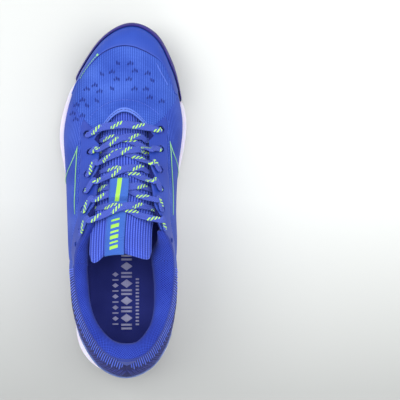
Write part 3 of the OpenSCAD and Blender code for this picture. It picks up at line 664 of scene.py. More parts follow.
def lace_cloth(name):
    """Flat woven lace: braided diagonals, with groups of lime flecks that run from edge to edge."""
    s = Shade(name, 0.75, 0.2, Sheen_Weight=0.06, Sheen_Roughness=0.5)
    u, v, _ = s.split(s.weave())
    fuzz = s.noise(s.place(), 2.2)
    braid = s.math("MAXIMUM", *(s.wave(s.total((u, 1), (v, slant)), 1.25) for slant in (1.3, -1.3)))
    base = s.ramp(s.total((braid, 0.6), (fuzz, 0.4)),
                  (0.2, (26, 38, 116)), (0.55, (56, 76, 174)), (0.95, (96, 114, 212)))
    # a group of flecks covers 10 mm in every 18, and slides from one edge of the lace to the other
    group = s.math("MODULO", u, 18.0)
    centre = s.math("MULTIPLY_ADD", group, -0.5, 2.5)
    near = s.math("LESS_THAN", s.math("ABSOLUTE", s.math("SUBTRACT", v, centre)), 1.5)
    inside = s.math("LESS_THAN", group, 10.2)
    thread = s.math("GREATER_THAN", s.wave(s.total((u, 1), (v, 0.45)), 2.3), 0.5)
    fleck = s.math("MULTIPLY", s.math("MULTIPLY", near, inside), thread)
    lime = s.ramp(fuzz, (0.3, (146, 212, 76)), (0.7, (206, 246, 128)))
    colour = s.mix(fleck, base, lime)
    return s.finish(colour, s.bump(s.total((braid, 1), (fleck, 0.5)), 0.2, 0.9), s.rough(fuzz, 0.62, 0.88))


def clear_plastic(name, colour):
    s = Shade(name, 0.3, 0.5, Transmission_Weight=0.45, IOR=1.45, Coat_Weight=0.3, Coat_Roughness=0.15)
    place = s.place()
    haze = s.noise(place, 0.2, 3.0)
    return s.finish(s.ramp(haze, (0.3, colour), (0.75, tuple(min(255, c + 45) for c in colour))),
                    s.bump(s.noise(place, 1.5), 0.05, 0.5), s.rough(haze, 0.22, 0.42))


MAT = {
    "vamp": knit("blue_rib_knit", (28, 50, 138), (44, 76, 174), (86, 120, 212), "x", 1.5),
    "side": knit("blue_side_knit", (28, 48, 138), (44, 72, 172), (80, 106, 202), "up", 2.0),
    "heel": mesh_knit("navy_heel_mesh", (8, 10, 54), (14, 20, 84), (30, 40, 126), 1.5),
    "collar": mesh_knit("collar_knit", (10, 20, 100), (24, 42, 144), (56, 82, 190), 1.9),
    "film": film("blue_film", (24, 54, 152), (40, 76, 178)),
    "film_side": film("blue_side_film", (22, 48, 148), (42, 74, 178)),
    "binding": film("binding_film", (62, 94, 196), (92, 124, 214), 0.5),
    "tongue": ribbed("tongue_knit", (28, 42, 138), (50, 72, 180), (92, 116, 222)),
    "tape": twill("label_tape", (44, 84, 168), (66, 108, 196), 0.7, 0.55),
    "lime": film("lime_print", (138, 200, 62), (176, 224, 96), 0.5),
    "accent": film("accent_print", (112, 176, 116), (150, 208, 150), 0.5),
    "lining": twill("lining_cloth", (8, 14, 76), (20, 32, 118), 1.0),
    "insole": twill("insole_cloth", (26, 32, 106), (50, 60, 146), 0.8, 0.8),
    "print": film("insole_print", (140, 140, 186), (186, 186, 216), 0.6),
    "midsole": moulded("midsole_foam_skin", (212, 206, 226), (234, 229, 242), 0.55, 0.05,
                       (190, 180, 196), 0.25, 0.15),
    "bumper": moulded("bumper_rubber_skin", (28, 14, 100), (42, 26, 134), 0.5, 0.06, (62, 46, 150), 0.3),
    "outsole": moulded("outsole_rubber_skin", (30, 22, 96), (48, 38, 128), 0.55, 0.08, (84, 76, 150), 0.5),
    "shank": moulded("shank_plastic_skin", (172, 222, 60), (206, 246, 96), 0.35, 0.02),
    "clip": clear_plastic("clip_plastic_skin", (56, 86, 168)),
    "lace": lace_cloth("lace_braid"),
    "thread": twill("thread", (56, 80, 184), (96, 120, 214), 0.5),
    "dark_thread_and_painted_shade": twill("dark_thread_and_painted_shade", (16, 20, 84), (32, 38, 122), 0.5),
    "ridge": film("ridge_film", (34, 44, 132), (60, 72, 168), 0.55),
    "tick": film("tick_film", (56, 88, 214), (96, 126, 246), 0.5),
    "foam": moulded("padding_foam_skin", (196, 186, 140), (226, 216, 170), 0.9, 0.3),
    "board": twill("board_fibre", (176, 170, 156), (214, 208, 196), 1.2, 0.9),
    "stiff": twill("stiffener_fibre", (150, 150, 156), (196, 196, 202), 1.0, 0.85),
    "backer": twill("backer_cloth", (14, 20, 84), (28, 38, 120), 0.9, 0.8),
    "aglet": clear_plastic("aglet_plastic_skin", (190, 214, 232)),
}


# ---------- sole ----------
GROOVES = [(20, 8), (46, 4), (68, -4), (-78, -6), (-104, -6)]
PIVOT = np.array([8.0, 62.0])
PIVOT_RADIUS = 17
TREAD_DEPTH = 1.5
BAR_HALF = TREAD_DEPTH / 2 + 0.05
PAD_INSET = 2.2
FOREFOOT, REARFOOT = (-7.0, 146.0), (-146.0, -53.0)


def sole_base(name, y0, y1, node):
    """Rubber plate above the tread, with a raised border at ground level."""
    cover = 3.2
    ys = plan_rows(PAD_INSET, 190)
    ys = np.concatenate([[y0], ys[(ys > y0) & (ys < y1)], [y1]])
    left, right = plan_span(PAD_INSET, ys)
    ts = np.concatenate([[0, 0.004], np.linspace(0.02, 0.98, 40), [0.996, 1]])
    x = lerp(left[:, None], right[:, None], ts[None, :])
    y = np.broadcast_to(ys[:, None], x.shape)
    side = np.minimum(x - left[:, None], right[:, None] - x)
    end = np.minimum(abs(y - y0), abs(y - y1)) if y0 > -140 or y1 < 140 else 99
    border = 1 - smooth((np.minimum(side, end) - cover) / 0.6)
    shoulder = 1 - smooth(side / 1.8)
    bottom = ground(y) + TREAD_DEPTH * (1 - border) + 1.1 * shoulder * border
    lower = np.stack([x, y, bottom], -1)
    upper = np.stack([x, y, ground(y) + OUTSOLE - 0.02], -1)
    shell(name, lower[:, ::-1], upper[:, ::-1], "shoe", MAT["outsole"], [node])


def clear_of_grooves(x, y, gap):
    return np.all([abs(y - gy - x * math.tan(math.radians(turn))) > gap for gy, turn in GROOVES], 0)


def runs(ok):
    """Index runs of four or more points in a row where ok holds."""
    parts = np.split(np.arange(len(ok)), np.flatnonzero(np.diff(ok.astype(int))) + 1)
    return [run for run in parts if ok[run[0]] and len(run) > 3]


def tread(name, y0, y1):
    """Herringbone bars under the sole, broken at the flex grooves and round the pivot rings."""
    pitch, wave_length, swing, inset = 4.6, 15.0, 3.4, 4.6
    back, front = sole_ends(6)
    paths = []
    for centre in np.arange(y0 + 4, y1 - 2, pitch):
        xs = np.arange(-56, 56, 1.25)
        zig = abs(((xs / wave_length) % 1) * 2 - 1) * 2 - 1
        ys = centre + swing * zig
        left, right = plan_span(inset, ys)
        ok = (xs > left) & (xs < right) & (ys > y0 + 2) & (ys < y1 - 2)
        ok &= clear_of_grooves(xs, ys, 2.3) & (ys > back) & (ys < front)
        ok &= np.hypot(xs - PIVOT[0], ys - PIVOT[1]) > PIVOT_RADIUS + 1
        for run in runs(ok):
            p = np.stack([xs[run], ys[run], ground(ys[run]) + BAR_HALF], -1)
            paths.append((p, [0, 0, -1], 1.25, BAR_HALF))
    sweep(name, paths, [[1, -1], [0.72, 1], [-0.72, 1], [-1, -1]], "shoe", MAT["outsole"])


def pivot_rings():
    """Concentric rings under the ball of the foot, where the player turns."""
    paths = []
    a = np.linspace(0, 2 * np.pi, 73)
    for radius in (3.5, 8, 12.5, 16.5):
        p = np.stack([PIVOT[0] + radius * np.cos(a), PIVOT[1] + radius * np.sin(a), 0 * a], -1)
        p[:, 2] = ground(p[:, 1]) + BAR_HALF
        for run in runs(clear_of_grooves(p[:, 0], p[:, 1], 2.0)):
            paths.append((p[run], [0, 0, 1], 1.2, BAR_HALF))
    sweep("pivot_rings", paths, [[-0.72, -1], [0.72, -1], [1, 1], [-1, 1]], "shoe", MAT["outsole"])


def midsole():
    """Foam sole with sculpted side: a long swept groove, a heel facet and a lip under the upper."""
    ks = np.linspace(0, COUNT, 384, endpoint=False)
    share = np.concatenate([[0, 0.015, 0.04], np.linspace(0.07, 0.94, 34), [0.97, 0.99, 1]])
    k, s = np.meshgrid(ks, share, indexing="ij")
    profile = table([[0, -2.4], [0.05, -1.7], [0.16, -0.3], [0.35, 0], [0.6, 0], [0.9, -0.2], [0.97, -0.45],
                     [1, -0.9]], s)
    back = np.cos(2 * np.pi * k / COUNT) * 0.5 + 0.5
    waist = smooth(1 - abs(k - 5.2) / 2.4) + smooth(1 - abs(k - 18.8) / 2.4)
    line = 0.46 + 0.16 * back - 0.1 * waist
    groove = np.exp(-((s - line) / 0.035) ** 2)
    second = np.exp(-((s - line + 0.2) / 0.03) ** 2) * smooth(back * 2 - 0.7)
    ribs = 0.22 * np.maximum(0, np.sin(k * 26))
    ribs *= smooth((line - s) / 0.1) * smooth(back * 3 - 1.8) * smooth(s / 0.15)
    d = profile - 0.9 * groove - 0.6 * second - ribs - recess(k) + flare(k) * smooth(s / 0.5)
    plan = outline(k, d)
    lip = station(k)[..., 2] - 0.5
    z = lerp(midsole_base(plan[..., 1]), lip, s)
    side = np.concatenate([plan, z[..., None]], -1)
    inner = []
    for inset, use_lip in ((-1.8, 1), (-4, 1), (-7, 1), (-8.1, 0.5), (-8.5, 0)):
        p = outline(ks, inset)
        height = lerp(bed(p[:, 1]), station(ks)[:, 2] - 0.5 - 0.15 * (inset > -2), use_lip)
        inner.append(np.concatenate([p, height[:, None]], -1))
    rings = np.concatenate([side, np.stack(inner, 1)], 1)
    capped("midsole_foam", rings, MAT["midsole"], ["midsole"])


def capped(name, rings, material, nodes):
    """Closed piece of the shoe from rings that run round it, capped straight across at its two ends."""
    ni, nj = rings.shape[:2]
    idx = np.arange(ni * nj).reshape(ni, nj)
    a, b = idx, np.roll(idx, -1, 0)
    walls = np.stack([a[:, :-1], a[:, 1:], b[:, 1:], b[:, :-1]], -1).reshape(-1, 4)
    half = ni // 2
    i = np.arange(half)
    p, q = idx[i], idx[i + 1]
    mp, mq = idx[(ni - i) % ni], idx[ni - i - 1]
    ends = []
    for ring, flip in ((0, False), (nj - 1, True)):
        quad = np.stack([p[:, ring], q[:, ring], mq[:, ring], mp[:, ring]], -1)
        first = np.array([[idx[0, ring], idx[1, ring], idx[-1, ring]]])
        last = np.array([[idx[half - 1, ring], idx[half, ring], idx[half + 1, ring]]])
        for part in (quad[1:-1], first, last):
            ends.append(part[:, ::-1] if flip else part)
    mesh_object(name, rings.reshape(-1, 3), [walls, *ends], "shoe", material, nodes)


def toe_bumper():
    """Rubber guard wrapped round the toe, with fine grip ribs."""
    ks = np.linspace(9.5, 15.3, 340)
    ts = eased(26, 0.05)
    low = midsole_base(outline(ks, 0)[:, 1]) + 0.25
    lip = station(ks)[:, 2]
    crest = table([[9.5, 0.05], [10, 0.13], [11, 0.15], [12.4, 0.15], [13.2, 0.20], [14, 0.25], [14.8, 0.20],
                   [15.3, 0.07]], ks)
    outer, inner = [], []
    for t in ts:
        if t < 0.5:
            f = t / 0.5
            z = lerp(low, lip, f)
            d = lerp(-0.5, 0.0, smooth(f * 3))
            outer.append(np.concatenate([outline(ks, d), z[:, None]], -1))
            inner.append(np.concatenate([outline(ks, -1.4), z[:, None]], -1))
        else:
            f = (t - 0.5) / 0.5
            w = 0.015 + (crest - 0.015) * f
            outer.append(on_skin(ks, w, lerp(2.9, 1.9, f)))
            inner.append(on_skin(ks, w, 1.3))
    outer, inner = np.stack(outer, 1), np.stack(inner, 1)
    grip = 0.22 * np.maximum(0, np.sin(ks * 34))[:, None]
    grip = grip * smooth((ts - 0.08) / 0.1) * smooth((0.52 - ts) / 0.08)
    thick = edge_round(ts, 0.05)[None, :, None]
    ends = edge_round((ks - ks[0]) / (ks[-1] - ks[0]), 0.02)[:, None, None]
    outer = inner + (outer - inner) * np.minimum(thick, ends)
    outer[..., :2] -= outward(ks)[:, None] * grip[..., None]
    shell("toe_bumper_rubber", outer, inner, "shoe", MAT["bumper"], ["toe_bumper"])


# ---------- upper ----------
def notch(k, start, end, depth):
    """Saw-tooth in the throat edge: it opens from start to end and jumps back."""
    t = (k - start) / (end - start)
    return depth * np.where(t > 1, np.clip(1 - (t - 1) * 6, 0, 1), np.maximum(t, 0))


def throat_edge(k):
    """Height fraction of the throat's cut edge, with its notches."""
    k = np.asarray(k, float)
    notches = ((9.15, 8.5, 0.075), (7.5, 7.08, 0.075), (6.5, 6.16, 0.075), (14.85, 15.5, 0.075),
               (16.5, 16.92, 0.06), (17.6, 17.95, 0.075))
    return 1 - sum(notch(k, *each) for each in notches)


# Middle of each pierced cluster in the vamp, as plan places
CLUSTERS = [
    [-5.7, 112], [5.3, 112], [9, 106], [-9.8, 105], [-18.8, 103], [19.5, 104], [-6, 99], [4, 99], [22.5, 98],
    [-24, 94], [-30.5, 91], [-20, 89], [-10.6, 91], [8.6, 91], [18, 91], [-34, 82], [-23, 81], [21, 84],
    [31, 81], [-39, 78], [-31, 77], [-34, 69], [-39.5, 66], [-42, 71],
]


def pierced(k, w, points):
    """How dark the cloth is: short slanted cuts in clusters of two or three."""
    x, y = points[..., 0], points[..., 1]
    dark = np.zeros(x.shape)
    for i, (cx, cy) in enumerate(CLUSTERS):
        lean = 0.16 if i % 2 else -0.16
        cuts = [(-1.8, -0.5, 1.3), (0.0, 0.6, 1.9), (1.8, -0.2, 1.6)]
        for ox, oy, half in cuts[i % 4 == 0:]:
            dx, dy = x - cx - ox, y - cy - oy
            along, across = dy + dx * lean, dx - dy * lean
            reach = (across / 0.75) ** 2 + (along / half) ** 2
            dark = np.maximum(dark, 1 - smooth((reach - 0.4) / 0.9))
    return 0.8 * dark


def upper_panels():
    """The four knit panels; the front three are pierced."""
    def cut(k, w, t):
        return -0.55 * pierced(k, w, skin(k, w))

    for name, a, b, columns, rows, look, holes in (
            ("vamp", 9.0, 15.0, 460, 180, "vamp", ()),
            ("quarter_lateral", 4.008, 9.0, 200, 84, "side", LATERAL_HOLES),
            ("quarter_medial", 15.0, 19.992, 200, 84, "side", MEDIAL_HOLES)):
        ks = np.linspace(a, b, columns)
        panel(name + "_knit", ks, 0, throat_edge(ks), rows, cut, -TEXTILE, MAT[look], [name], holes,
              marks={"pierced": pierced})
    ks = np.linspace(20.008, 27.992, 220)
    panel("heel_knit", ks, 0, 1, 44, 0, -TEXTILE, MAT["heel"], ["heel_panel"])


def eased_table(points, k):
    """table() with its corners rounded off."""
    window = np.hanning(25)
    return np.convolve(np.pad(table(points, k), 12, "edge"), window / window.sum(), "valid")


def overlays():
    """Welded film pieces over the knit."""
    ks = np.linspace(9.1, 14.95, 360)
    low = np.full(len(ks), 0.04)
    arc = [[9.1, 0.17], [9.5, 0.24], [10, 0.33], [10.5, 0.38], [11, 0.41], [11.5, 0.445], [12, 0.47],
           [12.5, 0.48], [13, 0.465], [13.5, 0.42], [14, 0.40], [14.5, 0.42], [14.8, 0.40], [14.95, 0.30]]
    panel("toe_film", ks, low, eased_table(arc, ks), 60, raised(0.02, 0.62, 0.025), 0.0, MAT["film"],
          ["toe_cap"], edge=0.025)
    # a thin dark bead along the toe film's edge, in the dark thread material: painted shade where the film's
    # edge meets the knit
    edge = np.linspace(10.2, 13.4, 160)
    w = eased_table(arc, edge) + 0.004
    taper = np.clip((1 - abs(np.linspace(-1, 1, 160))) * 3, 0.12, 1)
    sweep("toe_film_edge_painted_shade", [(*line_on(edge, w, 0.12), 0.34 * taper, 0.28 * taper)], oval(8), "shoe",
          MAT["dark_thread_and_painted_shade"])

    lateral_low = [[4.2, 0.72], [4.8, 0.72], [5.3, 0.74], [6, 0.80], [6.6, 0.77], [7.3, 0.73], [8, 0.72],
                   [8.6, 0.68], [8.95, 0.72]]
    medial_low = [[15.05, 0.72], [15.4, 0.68], [16, 0.72], [16.7, 0.72], [17.4, 0.72], [18, 0.78],
                  [18.7, 0.80], [19.2, 0.76], [19.8, 0.76]]
    high = [[4.2, 0.78], [4.5, 0.865], [4.8, 0.91], [5.13, 0.93], [5.61, 0.962], [6, 0.985], [6.3, 1],
            [18.2, 1], [18.5, 0.975], [18.81, 0.945], [19.2, 0.91], [19.5, 0.865], [19.8, 0.78]]
    for name, a, b, low_points, holes in (("eyestay_lateral", 4.2, 8.95, lateral_low, LATERAL_HOLES),
                                          ("eyestay_medial", 15.05, 19.8, medial_low, MEDIAL_HOLES)):
        ks = np.linspace(a, b, 260)
        top = np.minimum(table(high, ks), throat_edge(ks))
        panel(name + "_film", ks, eased_table(low_points, ks), top, 34, raised(0.02, 0.6, 0.04), 0.0,
              MAT["film_side"], [name], holes, edge=0.04)
        rings = []
        for k, w, radius in holes:
            c, n = line_on(k, w, FILM_FACE)
            a1 = unit(np.cross(n, [0, 1, 0.2]))
            a2 = np.cross(n, a1)
            turn = np.linspace(0, 2 * np.pi, 41)[:, None]
            ring = c + (radius + 0.45) * (np.cos(turn) * a1 + np.sin(turn) * a2)
            rings.append((ring, n, 0.5, 0.22))
        sweep(name + "_hole_rims", rings, oval(8), "shoe", MAT["film_side"])

    ks = np.linspace(9.0, 15.0, 220)
    panel("throat_binding", ks, throat_edge(ks) - 0.03, throat_edge(ks), 12, raised(0.05, 0.65, 0.3), 0.0,
          MAT["binding"], edge=0.3)
    for side, (a, b) in enumerate(((9.15, 12.0), (12.0, 14.85))):
        ks = np.linspace(a, b, 60)
        w = throat_edge(ks) - 0.015
        stitches(f"throat_stitching_{side}", *line_on(ks, w, 0.72), 2.4, 1.7, 0.25, "shoe",
                 MAT["dark_thread_and_painted_shade"], 0.2)
    # second seam behind the throat, and seams that run beside the eyestays
    for name, path in (
            ("throat_seam", [[9.25, 0.80], [10.2, 0.86], [11.2, 0.905], [12, 0.92], [12.8, 0.905],
                             [13.8, 0.86], [14.7, 0.80]]),
            ("side_seam_lateral", [[4.4, 0.69], [5.3, 0.71], [6, 0.765], [6.6, 0.735], [7.3, 0.70],
                                   [8, 0.685], [8.7, 0.65]]),
            ("side_seam_medial", [[19.6, 0.72], [18.7, 0.76], [18, 0.745], [17.4, 0.685], [16.7, 0.685],
                                  [16, 0.685], [15.3, 0.65]])):
        stitches(name, *line_on(*curve(path, 12).T, 0.05), 2.6, 1.9, 0.22, "shoe", MAT["thread"], 0.22)


def accent_lines():
    """Thin pale green lines on both sides, printed dashes on the toe film and a raised pale line on the knit
    that paints a highlight along the toe film's inner-side edge.
    """
    def line(path, width, n=14, base=0.3):
        q = curve(path, n)
        share = np.linspace(0, 1, len(q))
        taper = np.clip(np.minimum(share, 1 - share) * 9, 0.15, 1)
        return *line_on(*q.T, base), width / 2 * taper, 0.28

    bead = oval(10)
    for side, upper, lower in (
            ("lateral", [[6.0, 0.735], [6.33, 0.70], [6.67, 0.68], [7, 0.66], [7.33, 0.655], [7.67, 0.65],
                         [7.9, 0.655]],
             [[6.3, 0.09], [6.5, 0.22], [6.75, 0.36], [7.05, 0.48], [7.33, 0.56], [7.62, 0.62],
              [7.85, 0.652]]),
            ("medial", [[18.1, 0.68], [17.67, 0.64], [17.33, 0.62], [17, 0.62], [16.67, 0.63], [16.3, 0.645],
                        [16.05, 0.66]],
             [[17.6, 0.09], [17.35, 0.22], [17.1, 0.34], [16.9, 0.43], [16.67, 0.52], [16.4, 0.60],
              [16.1, 0.655]])):
        sweep("accent_" + side, [line(upper, 0.9), line(lower, 0.85)], bead, "shoe", MAT["accent"],
              ["accent_line_" + side])
    ends = locate([[-21.6, 119], [-35.5, 100]])
    dashes = []
    for f in np.arange(0, 1, 0.085):
        q = lerp(ends[0], ends[1], np.linspace(f, f + 0.062, 5)[:, None])
        dashes.append((*line_on(*q.T, 0.68), 0.42, 0.12))
    q = lerp(ends[0], ends[1], np.linspace(-0.05, 0.03, 6)[:, None])
    dashes.append((*line_on(*q.T, 0.68), 1.1, 0.15))
    sweep("toe_dashes", dashes, bead, "shoe", MAT["accent"])
    # pale raised line in the binding film along the toe film's edge on the inner side: painted highlight
    ridge = locate([[26.6, 112.6], [30, 106], [33.5, 99.5], [36.4, 93.7]])
    sweep("film_edge_painted_highlight", [line(ridge, 1.1, 10, 0.2)], bead, "shoe", MAT["binding"])


def heel_pieces():
    """Heel cover with its raised ticks, clear clip and pull tab."""
    ks = np.linspace(20.2, 27.8, 240)
    low = table([[20.2, 0.52], [21, 0.3], [22, 0.22], [26, 0.22], [27, 0.3], [27.8, 0.52]], ks)
    high = table([[20.2, 0.76], [20.7, 0.93], [27.3, 0.93], [27.8, 0.76]], ks)
    panel("heel_cover_film", ks, low, high, 40, raised(0.05, 0.6, 0.03), 0.0, MAT["heel"], ["heel_cover"],
          edge=0.03)
    ticks = []
    k = 19.75
    while k < 28.3:
        back = smooth(1 - abs(k - 24) / 2.4)
        low = lerp(0.5, 0.57, back) + 0.04 * math.sin(k * 37)
        if abs(k - 24) > 0.09:
            w = np.linspace(0.93, low, 15)
            kk = k + 0.06 * back * np.linspace(0, 1, 15) * (1 if k > 24 else -1)
            share = np.sqrt(np.clip(1 - np.linspace(-1, 1, 15) ** 6, 0.05, 1))
            ticks.append((*line_on(kk, w, FILM_FACE), 0.5 * share, 0.42 * share))
        k += lerp(0.082, 0.105, back)
    sweep("heel_ticks", ticks, oval(8), "shoe", MAT["tick"])
    lines = []
    for k0 in np.arange(21.3, 26.75, 0.062):
        lean = np.linspace(0, 0.22, 12) * (1 if k0 > 24 else -1)
        top = 0.52 + 0.03 * math.sin(k0 * 31)
        w = np.linspace(top, 0.27, 12)
        lines.append((*line_on(k0 + lean, w, 0.6), 0.3, 0.3))
    sweep("heel_ridges", lines, oval(6), "shoe", MAT["ridge"])

    ks = np.linspace(20.9, 27.1, 200)
    high = table([[20.9, 0.1], [21.6, 0.19], [26.4, 0.19], [27.1, 0.1]], ks)
    panel("heel_clip_plastic", ks, 0.045, high, 14, raised(0.1, 1.7, 0.14), 0.0, MAT["clip"], ["heel_clip"],
          edge=0.14)
    ks = np.linspace(23.58, 24.42, 30)
    low = 0.72 + 0.14 * abs(ks - 24) / 0.42
    panel("heel_tab_film", ks, low, 0.93, 12, raised(1.1, 0.85, 0.12), 0.9, MAT["film_side"], ["heel_tab"],
          edge=0.12)
    w = np.linspace(0.93, 0.26, 60)
    sweep("heel_seam", [(*line_on(COUNT + 0 * w, w, FILM_FACE), 0.5, 0.3)], oval(8), "shoe",
          MAT["dark_thread_and_painted_shade"])


# ---------- inside ----------
def inside_pieces():
    ks = np.linspace(4.85, COUNT - 4.85, 300)
    panel("vamp_lining_cloth", ks, 0, 0.98, 60, -LINING_TOP, -LINING_BASE, MAT["lining"], ["vamp_lining"],
          LATERAL_HOLES + MEDIAL_HOLES)


COLLAR_A, COLLAR_B = 18.32, COUNT + 6.1


def fullness(k):
    """Share of the collar's padding at each station, more at the heel and on the inner side."""
    inner = 0.55 * smooth(1 - abs(k - 19.2) / 1.3)
    waist = 0.72 * smooth(1 - abs(k - 20.2) / 1.9)
    return (smooth((k - 18) / 1.3) * smooth((COUNT + 6 - k) / 1.3) + inner + waist
            + 0.4 * smooth(1 - abs(k - COUNT) / 2.2) - 0.3 * smooth(1 - abs(k - 26.4) / 1.5))


def collar():
    """Padded knit collar: it comes up the inside, rolls over the top edge and is sewn down outside."""
    ks = np.linspace(COLLAR_A, COLLAR_B, 170)
    full = 1.12 * fullness(ks) * COLLAR_PADDING
    slim = np.clip(full / (0.9 * COLLAR_PADDING), 0.12, 1)
    foot = table([[18.32, 0.985], [18.81, 0.95], [19.4, 0.932], [28.6, 0.932], [29.13, 0.942], [29.61, 0.97],
                  [30.1, 0.988]], ks)
    reach = (1 - foot) / 0.068
    c = LINING_TOP + 1.3
    # [height fraction, depth below the base surface, millimetres past the top edge]
    profile = [
        (0.36, LINING_BASE, 0), (0.46, c + 0.12 * full, 0), (0.56, c + 0.55 * full, 0),
        (0.68, c + 0.95 * full, 0), (0.80, c + 1.12 * full, 0), (0.91, c + 1.1 * full, 0),
        (0.985, c + 0.9 * full, 0.8 * slim),
        (1, c + 0.55 * full, 2.2 * slim), (1, c + 0.1 * full, 3.0 * slim), (1, 1.2, 0.4 + 2.5 * slim),
        (1, -0.6 * slim, 0.3 + 1.7 * slim), (1 - 0.015 * reach, -0.4 - 0.95 * slim, 0.6 * slim),
        (1 - 0.035 * reach, -0.5 - slim, 0), (1 - 0.055 * reach, -0.5 - 0.7 * slim, 0), (foot, -0.3, 0),
    ]
    rings = np.stack([past_top(ks, w, -depth, up) for w, depth, up in profile], 1)
    # the side that lies on the upper: inside the wall first, then outside it from the top edge on
    outside = 9
    core = [past_top(ks, w, -2.4, 0.25 * up) for w, _, up in profile[:outside]]
    core = np.stack(core + [on_skin(ks, np.minimum(w, 0.99), -0.05) for w, _, _ in profile[outside:]], 1)
    swollen = inflate("collar", rings, COLLAR_RELIEF)
    fine = resample(swollen, 560, 64)
    back = resample(core, 560, 64)
    weave = np.stack(np.broadcast_arrays(lengths(fine[:, 40])[:, None], lengths(fine[280])[None, :]), -1)
    piece = shell("collar_knit_roll", fine, back, "shoe", MAT["collar"], ["collar_lining", "collar_foam"],
                  weave=weave)
    # the lower lining of the heel, below the padding
    ks = np.linspace(COUNT - 4.85, COUNT + 4.85, 160)
    panel("heel_lining_cloth", ks, 0, 0.4, 20, -LINING_TOP, -LINING_BASE, MAT["lining"])
    seam = line_on(np.linspace(19.6, 28.4, 300), 0.926, 0.3)
    stitches("collar_stitching", *seam, 2.7, 2.0, 0.3, "shoe", MAT["dark_thread_and_painted_shade"], 0.25)
    # the lining's foot, turned in over the midsole and down to the footbed
    ks = np.linspace(0, COUNT, 384, endpoint=False)
    lip = station(ks)[:, 2]
    rows = [on_skin(ks, 0.07, 0.05 - LINING_BASE), on_skin(ks, 0.03, -LINING_BASE - 0.1)]
    for inset, up, share in ((6.9, 0.1, 1), (7.5, -0.5, 1), (8.2, 0, 0.8), (8.7, 0, 0.5), (8.95, 2.2, 0)):
        p = outline(ks, -inset)
        rows.append(np.concatenate([p, lerp(bed(p[:, 1]), lip - 0.5, share)[:, None] + up], -1))
    sheet = np.stack(rows, 1)
    toward = np.concatenate([-outward(ks), 0.6 + 0 * ks[:, None]], -1)[:, None]
    sheet = resample(np.concatenate([sheet, sheet[:1]]), 385, 26)[:-1]
    shell("lining_foot", (sheet + 0.45 * toward)[:, ::-1], sheet[:, ::-1], "shoe", MAT["lining"], loop=True)


def resample(grid, ni, nj):
    """Smooth grid of ni by nj points through a coarse one."""
    def along(a, n):
        t = np.linspace(0, len(a) - 1, n)
        i = np.minimum(np.floor(t).astype(int), len(a) - 2)
        f = (t - i).reshape(-1, *([1] * (a.ndim - 1)))
        p = np.concatenate([2 * a[:1] - a[1:2], a, 2 * a[-1:] - a[-2:-1]])
        return spline(p[i], p[i + 1], p[i + 2], p[i + 3], f)
    return along(along(grid, ni).swapaxes(0, 1), nj).swapaxes(0, 1)


COLLAR_RELIEF = 1.3
TONGUE_RELIEF = 1.2


def inflate(name, grid, cap):
    """Blows the sheet out with cloth simulation, its border held, and moves no point further than cap."""
    ni, nj = grid.shape[:2]
    idx = np.arange(ni * nj).reshape(ni, nj)
    mesh = bpy.data.meshes.new(name + "_cloth")
    mesh.from_pydata((grid.reshape(-1, 3) * MM).tolist(), [], grid_faces(ni, nj))
    obj = add_object(name + "_cloth", mesh)
    held = obj.vertex_groups.new(name="held")
    border = np.unique(np.concatenate([idx[0], idx[-1], idx[:, 0], idx[:, -1]]))
    held.add(border.tolist(), 1.0, "REPLACE")
    cloth = obj.modifiers.new("cloth", "CLOTH").settings
    cloth.use_pressure = True
    cloth.uniform_pressure_force = 4.0
    cloth.effector_weights.gravity = 0
    cloth.vertex_group_mass = "held"
    cloth.quality = 6
    cloth.tension_stiffness = cloth.compression_stiffness = 12
    cloth.bending_stiffness = 0.4
    scene = bpy.context.scene
    for step in range(1, 21):
        scene.frame_set(step)
    result = obj.evaluated_get(bpy.context.evaluated_depsgraph_get()).data
    moved = np.array([v.co for v in result.vertices], float).reshape(ni, nj, 3) / MM
    scene.frame_set(1)
    bpy.data.objects.remove(obj)
    shift = moved - grid
    size = np.linalg.norm(shift, axis=-1, keepdims=True)
    return grid + shift * np.minimum(1, cap / np.maximum(size, 1e-6))


# ---------- tongue ----------
TONGUE_HEIGHTS = np.array([49.4, 50, 52.6, 60, 69.4, 78.6, 86.5, 93.6, 101.3, 111, 123, 136])
TONGUE_ROOT, TONGUE_PITCH, TONGUE_ARCH, TONGUE_WIDTH, TONGUE_THICKNESS = 84, 16, 60, 56, 6
CREASE_MIDDLE, TONGUE_END = -29.6, -49
COVER = 0.7


def tongue_z(y):
    t = (TONGUE_ROOT - np.asarray(y, float)) / TONGUE_PITCH + 1
    i = np.clip(np.floor(t).astype(int), 1, len(TONGUE_HEIGHTS) - 3)
    return spline(*(TONGUE_HEIGHTS[i + j] for j in (-1, 0, 1, 2)), t - i)


def tongue_half(y):
    return lerp(0.44, 0.5, smooth((60 - y) / 30)) * lerp(1, 0.875, smooth((6 - y) / 26)) * TONGUE_WIDTH


def tongue_shift(y):
    return -3.4 * smooth((20 - y) / 60)


def tongue_pad(y, u):
    body = smooth((78 - y) / 34) * lerp(1, 0.62, smooth((y - TONGUE_END) / -8 + 1))
    crease = 1 - 0.3 * smooth(1 - abs(y - CREASE_MIDDLE) / 7)
    return lerp(0.5, 0.5 * TONGUE_THICKNESS, body * crease * (1 - abs(u) ** 4))


def on_tongue(x, y, off):
    x, y = np.asarray(x, float), np.asarray(y, float)
    slope = tongue_z(y + 0.5) - tongue_z(y - 0.5)
    n = unit(np.stack([-slope, np.ones_like(slope)], -1))
    d = off - x * x / TONGUE_ARCH
    parts = x + tongue_shift(y), y + n[..., 0] * d, tongue_z(y) + n[..., 1] * d
    return np.stack(np.broadcast_arrays(*parts), -1)


def tongue_normal(x, y):
    step = on_tongue(x, y, 1) - on_tongue(x, y, 0)
    return unit(np.stack([2 * np.asarray(x, float) / TONGUE_ARCH, step[..., 1], step[..., 2]], -1))


def tongue_top(x, y):
    return tongue_pad(y, np.minimum(1, abs(x) / tongue_half(y))) + 0.1 + COVER


